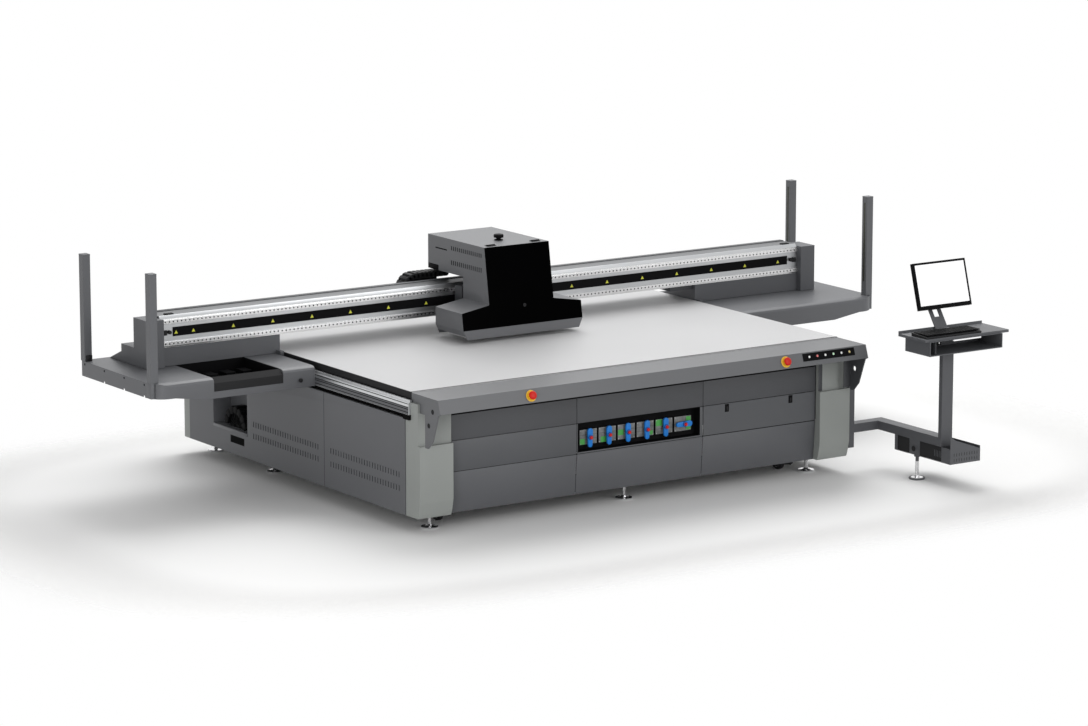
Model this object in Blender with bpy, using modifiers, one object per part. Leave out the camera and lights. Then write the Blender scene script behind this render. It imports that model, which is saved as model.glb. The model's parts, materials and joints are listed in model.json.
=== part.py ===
"""Flatbed UV printer: cabinet with a vacuum bed, travelling gantry, print carriage and operator stand.

Everything is laid out in the machine's own coordinates: x from the left corner column's outer face,
y from the corner columns' front face towards the back, z from the floor.  One empty, machine_origin,
then moves the whole machine so that the middle of its floor plan is the world's origin.
"""

import math

import bmesh
import bpy
from mathutils import Matrix, Vector

# ---------------------------------------------------------------- driving dimensions, metres

FIT = 0.0003                 # gap between pieces that are bolted face to face
SHEET = 0.003                # folded steel covers
WALL = 0.004                 # walls of the gantry and carriage housings

CABINET_WIDTH = 3.400
CABINET_DEPTH = 3.038
CABINET_BOTTOM = 0.113
PANEL_TOP = 0.800
SIDE_TOP = 0.740
REAR_TOP = 0.855
PANEL_SETBACK = 0.050        # front panels behind the columns' faces
PANEL_BREAK = 0.381          # height below which the front panels lean back
PANEL_LEAN = 0.020
PANEL_SHELF = 0.582          # seam between the middle and the upper row of front panels
REAR_FLANGE = 0.074
PAN_RETURN = 0.018

COLUMN_INSET = 0.005
COLUMN_WIDTH = 0.249
COLUMN_DEPTH = 0.170
COLUMN_TOE = 0.030
COLUMN_TOE_HEIGHT = 0.110
COLUMN_NECK_SETBACK = 0.025
COLUMN_NECK_DEPTH = 0.105
COLUMN_TOP = 0.851
COLUMN_WALL = 0.004

SEAM_LEFT = 1.225            # seams between the three front panels
SEAM_RIGHT = CABINET_WIDTH - 1.178

BED_LEFT = 0.025
BED_FRONT = 0.121
BED_BACK = CABINET_DEPTH - 0.078
BED_TOP = 0.914
BED_THICK = 0.055
BED_SKIN = 0.010
BED_FLOOR = 0.005
BED_RIB = 0.010
ZONE_COUNT = 6
ZONE_PORT_R = 0.0175

RAIL_OUT = -0.012            # outer face of the left side rail
RAIL_WIDTH = 0.034
RAIL_BOTTOM = 0.772
RAIL_TOP = 0.850
GUIDE_WIDTH = 0.016
GUIDE_HEIGHT = 0.016

BAR = 0.080                  # square tube of the base frame
FOOT_INSET = 0.205
FOOT_MIDDLE_Y = 2.163
FOOT_BACK_Y = CABINET_DEPTH - 0.067
FRAME_POST_Y = 1.400
FRAME_BOTTOM = 0.120
FOOT_PAD_R = 0.055
FOOT_PAD_H = 0.012
FOOT_STEM_R = 0.012
FOOT_NUT_R = 0.022
FOOT_NUT_H = 0.014
GUSSET = 0.230
GUSSET_THICK = 0.012

CASTER_X = 0.345
CASTER_FRONT_Y = 0.310
CASTER_BACK_Y = CABINET_DEPTH - 0.238
WHEEL_R = 0.058
WHEEL_WIDTH = 0.034
WHEEL_STEPS = 20
WHEEL_LIFT = 0.006           # the levelling feet hold the wheels this far off the floor
AXLE_R = 0.008
AXLE_PLAY = 0.0004
CASTER_TRAIL = 0.030
FORK_PLATE = 0.005
FORK_GAP = 0.003
SWIVEL_R = 0.046
SWIVEL_H = 0.012

CONSOLE_END = 0.022
CONSOLE_TOP = 0.910
CONSOLE_FRONT_TOP = -0.186
CONSOLE_FRONT_BOTTOM = -0.216
CONSOLE_LIP_Z = 0.823
CONSOLE_GUSSET_FRONT = -0.190
CONSOLE_HOLE_R = 0.017
CONSOLE_PLATE = 0.010        # thickness of the gussets under the console's ends
CONSOLE_FALL = 0.030         # the underside falls this much on its way back to the panels
GUSSET_BACK = -0.035
GUSSET_TOE_Y = -0.070
GUSSET_TOE_Z = 0.640
CONSOLE_HOLE = (-0.078, 0.731)

ESTOP_X = (0.706, CABINET_WIDTH - 0.694)
ESTOP_HEAD_R = 0.028
ESTOP_HEAD_H = 0.016
ESTOP_STEM_R = 0.0105
ESTOP_STEM_IN = 0.020
ESTOP_STANDOFF = 0.018
ESTOP_BORE_PLAY = 0.0005

PLATE_LEFT = CABINET_WIDTH - 0.552
PLATE_RIGHT = CABINET_WIDTH - 0.127
PLATE_HEIGHT = 0.052
PLATE_THICK = 0.003
CONTROL_DROP = 0.046         # from the console's top front edge down its sloping face to the controls
PLATE_DROP = 0.034
BUTTON_FIRST = CABINET_WIDTH - 0.504
BUTTON_PITCH = 0.0662
BUTTON_COUNT = 6
BUTTON_R = 0.0110
BUTTON_PROUD = 0.007
BUTTON_IN = 0.012
BUTTON_PLAY = 0.0004
BUTTON_ROOM = 0.003          # the slot behind the plate clears the buttons' barrels by this much

WINDOW_LEFT = 1.232
WINDOW_RIGHT = 2.198
WINDOW_BOTTOM = 0.390
WINDOW_TOP = 0.580
TRAY_DEPTH = 0.065
VALVE_FIRST = 1.346
VALVE_PITCH = 0.1495
VALVE_COUNT = 6
VALVE_Z = 0.475
VALVE_BODY = (0.136, 0.012, 0.100)
VALVE_BOSS_R = 0.013
VALVE_BOSS_H = 0.014
HANDLE_HUB_R = 0.014
HANDLE_THICK = 0.014
HANDLE_DOWN = 0.066
HANDLE_UP = 0.060
HANDLE_HALF = 0.020
HANDLE_PLAY = 0.0004
MANIFOLD_DEPTH = 0.052
PIPE_R = 0.016
PIPE_RISE = 0.050

DOOR_GAP = 0.0008
DOOR_BOTTOM = 0.384
DOOR_TOP = 0.580
DOOR_END = 0.004
DOOR_LIP = 0.015             # fold along the door's lower edge

RECESS_FRONT = 2.170
RECESS_BACK = 2.630
RECESS_FLOOR = 0.283
RECESS_TOP = 0.600
RECESS_DEPTH = 0.140
SIDE_CHAIN_R = 0.150
SIDE_CHAIN_LINK = 0.055
SIDE_CHAIN_WIDTH = 0.090

WING_OUT = -1.190            # outer face of the left wing
WING_FRONT = 1.250
WING_BACK = 2.257
WING_TOP = 0.900
WING_DEEP = 0.767
WING_SHALLOW = 0.800
WING_STEP = (0.150, 0.370)   # from the outer face: where the underside starts and ends its slope
WING_CORNER_R = 0.120
WING_REAR_R = 0.020
WING_NOSE_R = 0.045
CAP_LEFT = -0.760
CAP_RIGHT = -0.250
CAP_BACK = 1.770
CAP_FRONT = 1.290
CAP_FLOOR = 0.812
CAP_BEVEL = 0.034
CAP_PAD = (0.070, 0.100, 0.030)
CAP_PADS = (4, 2)

POST = 0.055
POST_TOP = 1.606
POST_X = -1.162
POST_FRONT_Y = 1.330
POST_BACK_Y = 2.2292

BEAM_FRONT = 1.760
BEAM_BACK = 1.960
BEAM_BOTTOM = 1.024
BEAM_TOP = 1.233
BEAM_CHAMFER = 0.022
BEAM_WALL = 0.006
BEAM_LEFT = -0.866
BEAM_RAIL_PROUD = 0.012
BEAM_RAIL_H = 0.026
BEAM_RAIL_LOW = 1.036
BEAM_RAIL_HIGH = 1.180
TROUGH_DEPTH = 0.135
TROUGH_WALL = 0.004
TROUGH_LIP = 0.026
STRIP_LEFT = -0.777
STRIP_LOW = 1.095
STRIP_HIGH = 1.155
STRIP_THICK = 0.004

END_OUT = -0.987             # outer face of the gantry's left end cover
END_FRONT = 1.712
END_TOP = 1.219
END_BACK = 1.902
END_STEP_Z = 1.020
END_STEP_BACK = 2.075
END_SLANT_Z = 0.970
END_SLANT_BACK = 2.235
END_BOTTOM = 0.902
LEG_SLANT_BACK = 2.200
LEG_IN = 0.022
SHOE_WIDTH = 0.026
SHOE_FRONT = 1.700
SHOE_BACK = 2.020
SHOE_PLAY = 0.0005

CARRIAGE_MIDDLE = 1.613
CARRIAGE_HALF = 0.256
CARRIAGE_TOP = 1.533
CARRIAGE_REAR = 2.050
CARRIAGE_WAIST_BACK = 1.610
CARRIAGE_SADDLE = 1.300
FLARE_HALF = 0.475
FLARE_SIDE_Z = 1.119
FLARE_TOP_Z = 1.154
SILL_BOTTOM = 0.940
SILL_TOP = 1.003
SILL_TAPER = 0.028
SILL_FRONT = 1.260
FRONT_LEAN = 0.156           # the front runs back this much for each metre of height
COVER_THICK = 0.005

SLIDER_HALF = 0.235
SLIDER_FRONT = 1.660
SLIDER_TOP = 1.222
SLIDER_BOTTOM = 1.030
SLIDER_PLAY = 0.0005
LIFT_BAR = 0.050
LIFT_BAR_TOP = 1.275

HEAD_PLATE_Z = 0.955
HEAD_PLATE_H = 0.010
HEAD_PLATE_FRONT = 1.285
HEAD_PLATE_HALF = 0.420
HEAD_SIZE = (0.045, 0.090, 0.125)
HEAD_BOTTOM = 0.937
HEAD_GRID = (5, 2)
HEAD_PITCH = (0.085, 0.125)
LAMP_SIZE = (0.100, 0.200, 0.130)

LOOP_R = 0.115
LOOP_LINK = 0.045
LOOP_X = 1.225
LOOP_Z = 1.170
LOOP_FRONT = 1.985
LOOP_WIDTH = 0.100
LOOP_UPPER_END = 1.480
LOOP_LOWER_END = 1.600
LOOP_EAR = (0.080, 0.065)

ARM_X = CABINET_WIDTH + 0.240
ARM_WIDTH = 0.092
ARM_BOTTOM = 0.270
ARM_TOP = 0.330
ARM_BACK = 0.085
ARM_FRONT = -0.673
MAST_DEPTH = 0.035
HANGER_OUT = CABINET_WIDTH + 0.040
HANGER_LOW = 0.170
HANGER_HIGH = 0.650
HANGER_FRONT = 0.005
HANGER_BACK = 0.060
BLOCK_WIDTH = 0.054
BLOCK_FRONT = -0.445
BLOCK_BACK = -0.334
STAND_FOOT_Y = -0.390

DESK_LEFT = CABINET_WIDTH + 0.004
DESK_RIGHT = CABINET_WIDTH + 0.706
DESK_FRONT = -0.783
DESK_BACK = -0.498
DESK_TOP = 1.030
DESK_PLATE = 0.018
DESK_LIP = 0.016
BIN_LEFT = DESK_LEFT + 0.026
BIN_RIGHT = DESK_RIGHT - 0.066
BIN_FRONT = -0.800
BIN_BACK = -0.540
BIN_BOTTOM = 0.918
BIN_WALL = 0.006

TRAY_RIGHT = CABINET_WIDTH + 0.493
TRAY_BACK = -0.180
TRAY_FRONT = -0.771
TRAY_FLOOR = 0.166
TRAY_LOW_Z = 0.250
TRAY_HIGH_Z = 0.354
TRAY_PLAY = 0.003
TRAY_STRIP = 0.030           # folded edges that close the tray's corners beside the arm

KEYBOARD = (0.460, 0.165, 0.022)
KEYBOARD_LEFT = DESK_LEFT + 0.021
KEYBOARD_FRONT = -0.772

SCREEN_WIDTH = 0.440
SCREEN_HEIGHT = 0.315
SCREEN_THICK = 0.030
SCREEN_LEFT = DESK_LEFT + 0.171
SCREEN_FOOT_Y = -0.508
SCREEN_FOOT_Z = 1.165
SCREEN_LEAN = math.radians(16.0)
NECK_WIDTH = 0.100
NECK_THICK = 0.010
NECK_FOOT_Y = -0.527
NECK_TOP_Y = -0.400
NECK_TOP_Z = 1.215
NECK_ASIDE = 0.050            # the neck stands this far left of the screen's middle
NECK_FOOT_DEPTH = 0.060
NECK_FOOT_H = 0.008
TILT_R = 0.013
TILT_PLAY = 0.0005
TILT_EAR = 0.020             # width of each ear, and of the neck's notch for it
NECK_NOTCH = 0.045

# ---------------------------------------------------------------- sizes that follow from them

SQUARE_TOP = BED_TOP - BED_THICK - FIT          # the frame's upper face, under the bed
MIDDLE_X = CABINET_WIDTH / 2
FRONT_BAR_Y = COLUMN_DEPTH + FIT
REAR_PANEL_Y = CABINET_DEPTH - REAR_FLANGE
PLAN_MIDDLE_Y = (BIN_FRONT + CABINET_DEPTH) / 2
FRAME_TOP_BOTTOM = SQUARE_TOP - BAR
DROP = Vector((0, CONSOLE_FRONT_BOTTOM - CONSOLE_FRONT_TOP, CONSOLE_LIP_Z - CONSOLE_TOP))
SLOPE = DROP.normalized()                       # down the console's sloping face
OUTWARD = Vector((0, SLOPE.z, -SLOPE.y))        # out of that face, towards the operator
CONTROL_ANGLE = math.atan2(-OUTWARD.z, -OUTWARD.y)
CONSOLE_EDGE = Vector((0, CONSOLE_FRONT_TOP, CONSOLE_TOP))

# ---------------------------------------------------------------- scene and collections

for old in list(bpy.data.objects):
    bpy.data.objects.remove(old, do_unlink=True)

PARTS = bpy.data.collections.new("flatbed_uv_printer")
CUTTERS = bpy.data.collections.new("cutters")
bpy.context.scene.collection.children.link(PARTS)
bpy.context.scene.collection.children.link(CUTTERS)


def empty(name, at, parent=None):
    """An empty at a machine position, holding what is parented to it."""
    holder = bpy.data.objects.new(name, None)
    PARTS.objects.link(holder)
    holder.parent = parent
    holder.location = Vector(at) - (origin_of(parent) if parent else Vector())
    return holder


def origin_of(holder):
    """Where a holder's origin lies in machine coordinates."""
    place = Vector()
    while holder is not None and holder != MACHINE:
        place += holder.location
        holder = holder.parent
    return place


MACHINE = None
MACHINE = empty("machine_origin", (-MIDDLE_X, -PLAN_MIDDLE_Y, 0))


def finish(name, colour, roughness, metallic=0.0):
    """A Principled material."""
    material = bpy.data.materials.new(name)
    material.use_nodes = True
    shader = material.node_tree.nodes["Principled BSDF"]
    shader.inputs["Base Color"].default_value = (*colour, 1.0)
    shader.inputs["Roughness"].default_value = roughness
    shader.inputs["Metallic"].default_value = metallic
    return material


SLATE = finish("slate_paint", (0.115, 0.119, 0.130), 0.45)
SAGE = finish("sage_paint", (0.225, 0.238, 0.228), 0.45)
CONSOLE_GREY = finish("console_paint", (0.165, 0.168, 0.175), 0.42)
FRAME_GREY = finish("frame_paint", (0.070, 0.072, 0.078), 0.55)
BED_GREY = finish("bed_coating", (0.560, 0.560, 0.565), 0.50)
ALUMINIUM = finish("aluminium", (0.620, 0.625, 0.630), 0.32, 1.0)
STEEL = finish("steel", (0.480, 0.480, 0.490), 0.35, 1.0)
BLACK = finish("black_plastic", (0.012, 0.012, 0.013), 0.50)
GLOSS = finish("gloss_black", (0.004, 0.004, 0.005), 0.08)
BLUE = finish("blue_plastic", (0.010, 0.170, 0.620), 0.35)
RED = finish("red_plastic", (0.620, 0.015, 0.012), 0.35)
WHITE = finish("lamp_white", (0.820, 0.830, 0.820), 0.30)
GREEN = finish("lamp_green", (0.450, 0.760, 0.480), 0.30)
AMBER = finish("lamp_amber", (0.760, 0.520, 0.120), 0.30)
RUBBER = finish("tyre", (0.020, 0.020, 0.021), 0.80)

# ---------------------------------------------------------------- modelling helpers


def link(name, mesh, material, origin, parent):
    """Put a mesh, written about origin, in the scene as a named part."""
    item = bpy.data.objects.new(name, mesh)
    PARTS.objects.link(item)
    item.parent = parent
    item.location = Vector(origin) - origin_of(parent)
    if material is not None:
        mesh.materials.append(material)
    return item


def place_of(origin, material, middle):
    """A part's origin is its middle unless one is given; a tool's is the machine's, to share its grid."""
    if origin is not None:
        return Vector(origin)
    return Vector() if material is None else Vector(middle)


def block(name, low, high, material=None, origin=None, parent=None):
    """A box between two machine corners."""
    low, high = Vector(low), Vector(high)
    origin = place_of(origin, material, (low + high) / 2)
    shape = bmesh.new()
    bmesh.ops.create_cube(shape, size=1.0)
    for corner in shape.verts:
        place = [high[i] if corner.co[i] > 0 else low[i] for i in range(3)]
        corner.co = Vector(place) - origin
    return shaped(name, shape, material, origin, parent)


def rod(name, radius, start, end, material=None, origin=None, parent=None, sides=20):
    """A round bar between the middles of its two ends."""
    start, end = Vector(start), Vector(end)
    origin = place_of(origin, material, (start + end) / 2)
    along = end - start
    shape = bmesh.new()
    bmesh.ops.create_cone(
        shape, cap_ends=True, segments=sides, radius1=radius, radius2=radius, depth=along.length
    )
    turn = along.to_track_quat("Z", "Y").to_matrix().to_4x4()
    place = Matrix.Translation((start + end) / 2 - origin) @ turn
    bmesh.ops.transform(shape, matrix=place, verts=shape.verts)
    return shaped(name, shape, material, origin, parent)


def shaped(name, shape, material, origin, parent):
    """Turn a finished bmesh into a part."""
    mesh = bpy.data.meshes.new(name)
    shape.to_mesh(mesh)
    shape.free()
    return link(name, mesh, material, origin, parent or MACHINE)


def prism(name, outline, axis, start, end, material=None, origin=None, parent=None):
    """A flat outline carried along an axis: a 2D curve, extruded, turned and made a mesh.

    The outline is a list of points in the two other axes, taken in the order x, y, z.
    """
    flat = bpy.data.curves.new(name, "CURVE")
    flat.dimensions = "2D"
    flat.fill_mode = "BOTH"
    flat.extrude = (end - start) / 2
    line = flat.splines.new("POLY")
    line.points.add(len(outline) - 1)
    for point, (u, v) in zip(line.points, outline):
        point.co = (u, v, 0, 1)
    line.use_cyclic_u = True
    turns = {
        "x": Matrix(((0, 0, 1, 0), (1, 0, 0, 0), (0, 1, 0, 0), (0, 0, 0, 1))),
        "y": Matrix(((1, 0, 0, 0), (0, 0, -1, 0), (0, 1, 0, 0), (0, 0, 0, 1))),
        "z": Matrix.Identity(4),
    }
    middle = Vector((0, 0, 0))
    middle["xyz".index(axis)] = (start + end) / 2
    origin = place_of(origin, material, middle)
    mesh = solid_of(flat, name)
    mesh.transform(Matrix.Translation(middle - origin) @ turns[axis])
    return link(name, mesh, material, origin, parent or MACHINE)


def solid_of(curve, name):
    """The closed mesh of a curve, its caps welded on."""
    guide = bpy.data.objects.new(name + "_guide", curve)
    bpy.context.scene.collection.objects.link(guide)
    seen = guide.evaluated_get(bpy.context.evaluated_depsgraph_get())
    mesh = bpy.data.meshes.new_from_object(seen)
    bpy.data.objects.remove(guide, do_unlink=True)
    bpy.data.curves.remove(curve)
    shape = bmesh.new()
    shape.from_mesh(mesh)
    bmesh.ops.remove_doubles(shape, verts=shape.verts, dist=0.00005)
    bmesh.ops.recalc_face_normals(shape, faces=shape.faces)
    shape.to_mesh(mesh)
    shape.free()
    mesh.materials.clear()
    mesh.name = name
    return mesh


def tube(name, radius, route, parent=None):
    """A bent pipe through machine points, as a mesh."""
    path = bpy.data.curves.new(name, "CURVE")
    path.dimensions = "3D"
    path.bevel_depth = radius
    path.bevel_resolution = 3
    path.use_fill_caps = True
    line = path.splines.new("POLY")
    line.points.add(len(route) - 1)
    for point, place in zip(line.points, route):
        point.co = (*place, 1)
    return link(name, solid_of(path, name), None, (0, 0, 0), parent or MACHINE)


def apply_tool(item, tool, operation):
    """Cut a tool out of a part, or join it on."""
    step = item.modifiers.new(tool.name, "BOOLEAN")
    step.operation = operation
    step.object = tool
    step.solver = "EXACT"
    PARTS.objects.unlink(tool)
    CUTTERS.objects.link(tool)
    tool.hide_render = True
    tool.display_type = "WIRE"


def cut(item, *tools):
    for tool in tools:
        apply_tool(item, tool, "DIFFERENCE")


def join(item, *tools):
    for tool in tools:
        apply_tool(item, tool, "UNION")


def round_shading(item):
    """Smooth the round sides of a part and keep its edges."""
    item.data.shade_smooth()
    item.data.set_sharp_from_angle(angle=math.radians(35))


def arc(middle, radius, start, end, steps):
    """Points along a circular arc, in degrees, both ends included."""
    points = []
    for step in range(steps + 1):
        angle = math.radians(start + (end - start) * step / steps)
        points.append((middle[0] + radius * math.cos(angle), middle[1] + radius * math.sin(angle)))
    return points


def mirrored(outline):
    """An outline's first coordinate mirrored about the machine's middle."""
    return [(2 * MIDDLE_X - u, v) for u, v in reversed(outline)]


def mirror_x(x):
    return 2 * MIDDLE_X - x


def spans(side, low, high):
    """A left-hand x range, or its mirror image on the right."""
    return (low, high) if side == "left" else (mirror_x(high), mirror_x(low))


# ---------------------------------------------------------------- base frame with its levelling feet


def foot(at_x, at_y, top, name):
    """A levelling foot's tools: pad, threaded stem and lock nut."""
    pad = rod(name + "_pad", FOOT_PAD_R, (at_x, at_y, 0), (at_x, at_y, FOOT_PAD_H), sides=24)
    stem = rod(name + "_stem", FOOT_STEM_R, (at_x, at_y, FOOT_PAD_H / 2), (at_x, at_y, top + 0.004),
               sides=12)
    nut = rod(name + "_nut", FOOT_NUT_R, (at_x, at_y, top - FOOT_NUT_H), (at_x, at_y, top + 0.002),
              sides=6)
    return pad, stem, nut


def base_frame():
    """Two rings of square tube, six posts, corner gussets, rigid rear castor forks and seven feet."""
    left = FOOT_INSET - BAR / 2
    right = CABINET_WIDTH - FOOT_INSET - BAR / 2
    back = FOOT_BACK_Y - BAR / 2
    low, high = FRAME_BOTTOM, FRAME_TOP_BOTTOM
    frame = block("base_frame", (left, FRONT_BAR_Y, low), (right + BAR, FRONT_BAR_Y + BAR, low + BAR),
                  FRAME_GREY, origin=(0, 0, 0))
    bars = [block("bar_low_back", (left, back, low), (right + BAR, back + BAR, low + BAR))]
    for x, side in ((left, "left"), (right, "right")):
        bars.append(block("bar_low_" + side, (x, FRONT_BAR_Y, low), (x + BAR, back + BAR, low + BAR)))
        bars.append(block("bar_high_" + side, (x, FRONT_BAR_Y, high), (x + BAR, back + BAR, SQUARE_TOP)))
        for number, y in enumerate((FRONT_BAR_Y, FRAME_POST_Y, back)):
            bars.append(block(f"post_{side}_{number}", (x, y, low), (x + BAR, y + BAR, SQUARE_TOP)))
    reach = RAIL_OUT + RAIL_WIDTH + FIT
    for number, y in enumerate((FRONT_BAR_Y, FRAME_POST_Y, back)):
        bars.append(block(f"cross_{number}", (reach, y, high), (mirror_x(reach), y + BAR, SQUARE_TOP)))
    for side in ("left", "right"):
        x0, x1 = spans(side, left, left + BAR + GUSSET)
        for name, y0, y1 in (("front", FRONT_BAR_Y, CASTER_FRONT_Y + BAR),
                             ("back", CASTER_BACK_Y - BAR, back + BAR)):
            bars.append(block(f"gusset_{side}_{name}", (x0, y0, low + BAR - GUSSET_THICK),
                              (x1, y1, low + BAR)))
        x = CASTER_X if side == "left" else mirror_x(CASTER_X)
        bars.extend(rear_fork(x, side))
    spots = [(MIDDLE_X, FOOT_INSET)]
    for x in (FOOT_INSET, CABINET_WIDTH - FOOT_INSET):
        spots += [(x, FRONT_BAR_Y + BAR / 2), (x, FOOT_MIDDLE_Y), (x, FOOT_BACK_Y)]
    for number, (x, y) in enumerate(spots):
        bars.extend(foot(x, y, low, f"foot_{number}"))
    join(frame, *bars)


def fork_plates(x, y, top):
    """Two cheeks of a castor fork, as machine boxes, straddling a wheel at x."""
    inner = WHEEL_WIDTH / 2 + FORK_GAP
    z = WHEEL_LIFT + WHEEL_R
    for sign in (-1, 1):
        near, far = sorted((x + sign * inner, x + sign * (inner + FORK_PLATE)))
        yield (near, y - 2.2 * AXLE_R, z - 2.2 * AXLE_R), (far, y + 2.2 * AXLE_R, top)


def axle_rod(name, x, y, material=None):
    """The castor's axle, from cheek to cheek."""
    reach = WHEEL_WIDTH / 2 + FORK_GAP + FORK_PLATE * 0.6
    z = WHEEL_LIFT + WHEEL_R
    return rod(name, AXLE_R, (x - reach, y, z), (x + reach, y, z), material, sides=16)


def rear_fork(x, side):
    """A rigid fork, welded under the rear gusset."""
    under = FRAME_BOTTOM + BAR - GUSSET_THICK + 0.002
    for number, (low, high) in enumerate(fork_plates(x, CASTER_BACK_Y, under)):
        yield block(f"rear_fork_{side}_{number}", low, high)
    yield axle_rod(f"rear_axle_{side}", x, CASTER_BACK_Y)


def front_caster(side):
    """A swivelling fork that turns under the front gusset, on its own upright axis."""
    x = CASTER_X if side == "left" else mirror_x(CASTER_X)
    under = FRAME_BOTTOM + BAR - GUSSET_THICK - FIT
    pivot = empty(f"caster_pivot_{side}", (x, CASTER_FRONT_Y, under), MACHINE)
    wheel_y = CASTER_FRONT_Y + CASTER_TRAIL
    plate_top = under - SWIVEL_H / 2
    fork = rod(f"caster_fork_{side}", SWIVEL_R, (x, CASTER_FRONT_Y, under - SWIVEL_H),
               (x, CASTER_FRONT_Y, under), STEEL, origin=(x, CASTER_FRONT_Y, under), parent=pivot)
    tools = [block(f"cheek_{side}_{number}", low, high)
             for number, (low, high) in enumerate(fork_plates(x, wheel_y, plate_top))]
    tools.append(axle_rod(f"front_axle_{side}", x, wheel_y))
    join(fork, *tools)
    wheel(f"caster_wheel_front_{side}", x, wheel_y, pivot)


def wheel(name, x, y, parent):
    """A castor wheel: a turned tread profile around its bore."""
    half = WHEEL_WIDTH / 2
    bore = AXLE_R + AXLE_PLAY
    profile = [(bore, half), (WHEEL_R - 0.008, half), (WHEEL_R, half - 0.010),
               (WHEEL_R, 0.010 - half), (WHEEL_R - 0.008, -half), (bore, -half)]
    shape = bmesh.new()
    points = [shape.verts.new((r, 0, z)) for r, z in profile]
    for first, second in zip(points, points[1:] + points[:1]):
        shape.edges.new((first, second))
    mesh = bpy.data.meshes.new(name)
    shape.to_mesh(mesh)
    shape.free()
    item = link(name, mesh, RUBBER, (x, y, WHEEL_LIFT + WHEEL_R), parent)
    turn = item.modifiers.new("turned", "SCREW")
    turn.steps = WHEEL_STEPS
    turn.render_steps = WHEEL_STEPS
    turn.use_merge_vertices = True
    turn.merge_threshold = 0.0001
    turn.use_normal_calculate = True
    item.rotation_euler = (0, math.radians(90), 0)
    round_shading(item)


# ---------------------------------------------------------------- cabinet covers


def pan(name, low, high, open_axis, material, wall=SHEET):
    """A shallow folded cover, open towards +x, -x, +y or -y."""
    low, high = Vector(low), Vector(high)
    cover = block(name, low, high, material)
    inner_low, inner_high = low + Vector((wall,) * 3), high - Vector((wall,) * 3)
    number = "xyz".index(open_axis[1])
    if open_axis[0] == "+":
        inner_high[number] = high[number] + wall
    else:
        inner_low[number] = low[number] - wall
    cut(cover, block(name + "_inside", inner_low, inner_high))
    return cover


def column_outline(inset):
    """Side view of a corner column: a toe that curves back, a plain shin and a set-back neck."""
    toe = [(COLUMN_TOE * (1 - math.sin(math.radians(a))) + inset,
            CABINET_BOTTOM + COLUMN_TOE_HEIGHT * math.sin(math.radians(a)) ** 1.4)
           for a in (0, 15, 30, 45, 60, 75, 90)]
    neck = COLUMN_NECK_SETBACK + inset
    return toe + [(inset, PANEL_SHELF - inset), (neck, PANEL_SHELF - inset),
                  (neck, COLUMN_TOP - inset), (COLUMN_NECK_DEPTH - inset, COLUMN_TOP - inset),
                  (COLUMN_NECK_DEPTH - inset, SIDE_TOP - inset), (COLUMN_DEPTH, SIDE_TOP - inset),
                  (COLUMN_DEPTH, CABINET_BOTTOM)]


def corner_column(side):
    """A formed cover over each front corner, open at its back and foot."""
    x0, x1 = spans(side, COLUMN_INSET, COLUMN_INSET + COLUMN_WIDTH)
    column = prism("corner_column_" + side, column_outline(0), "x", x0, x1, SAGE)
    inner = [(y + (0.01 if y == COLUMN_DEPTH else 0), z - (0.01 if z == CABINET_BOTTOM else 0))
             for y, z in column_outline(COLUMN_WALL)]
    cut(column, prism(f"column_{side}_inside", inner, "x", x0 + COLUMN_WALL, x1 - COLUMN_WALL))


def front_outline(thick):
    """Side view of a front panel: upright, then leaning back to its foot."""
    return [(PANEL_SETBACK, PANEL_TOP), (PANEL_SETBACK, PANEL_BREAK),
            (PANEL_SETBACK + PANEL_LEAN, CABINET_BOTTOM),
            (PANEL_SETBACK + PANEL_LEAN + thick, CABINET_BOTTOM),
            (PANEL_SETBACK + thick, PANEL_BREAK), (PANEL_SETBACK + thick, PANEL_TOP)]


def front_panels():
    """Three front panels: plain, with the valve window, and with the access door's opening."""
    edge = COLUMN_INSET + COLUMN_WIDTH + FIT
    prism("front_panel_left", front_outline(SHEET), "x", edge, SEAM_LEFT - FIT / 2, SLATE)
    middle = prism("front_panel_center", front_outline(SHEET), "x", SEAM_LEFT + FIT / 2,
                   SEAM_RIGHT - FIT / 2, SLATE)
    cut(middle, block("valve_window", (WINDOW_LEFT, 0, WINDOW_BOTTOM),
                      (WINDOW_RIGHT, COLUMN_DEPTH, WINDOW_TOP)))
    right = prism("front_panel_right", front_outline(SHEET), "x", SEAM_RIGHT + FIT / 2,
                  mirror_x(edge), SLATE)
    low, high = door_span()
    cut(right, block("door_opening", (low - DOOR_GAP, 0, DOOR_BOTTOM - DOOR_GAP),
                     (high + DOOR_GAP, COLUMN_DEPTH, DOOR_TOP + DOOR_GAP)))


def door_span():
    edge = mirror_x(COLUMN_INSET + COLUMN_WIDTH + FIT)
    return SEAM_RIGHT + FIT / 2 + DOOR_END + DOOR_GAP, edge - DOOR_END - DOOR_GAP


def access_door():
    """The service door in the right front panel, hung along its lower edge."""
    low, high = door_span()
    hinge = empty("door_hinge", ((low + high) / 2, PANEL_SETBACK, DOOR_BOTTOM), MACHINE)
    door = block("access_door", (low, PANEL_SETBACK, DOOR_BOTTOM),
                 (high, PANEL_SETBACK + SHEET, DOOR_TOP), SLATE,
                 origin=origin_of(hinge), parent=hinge)
    lip = block("door_lip", (low, PANEL_SETBACK + SHEET - 0.001, DOOR_BOTTOM),
                (high, PANEL_SETBACK + DOOR_LIP, DOOR_BOTTOM + SHEET))
    join(door, lip)


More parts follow.
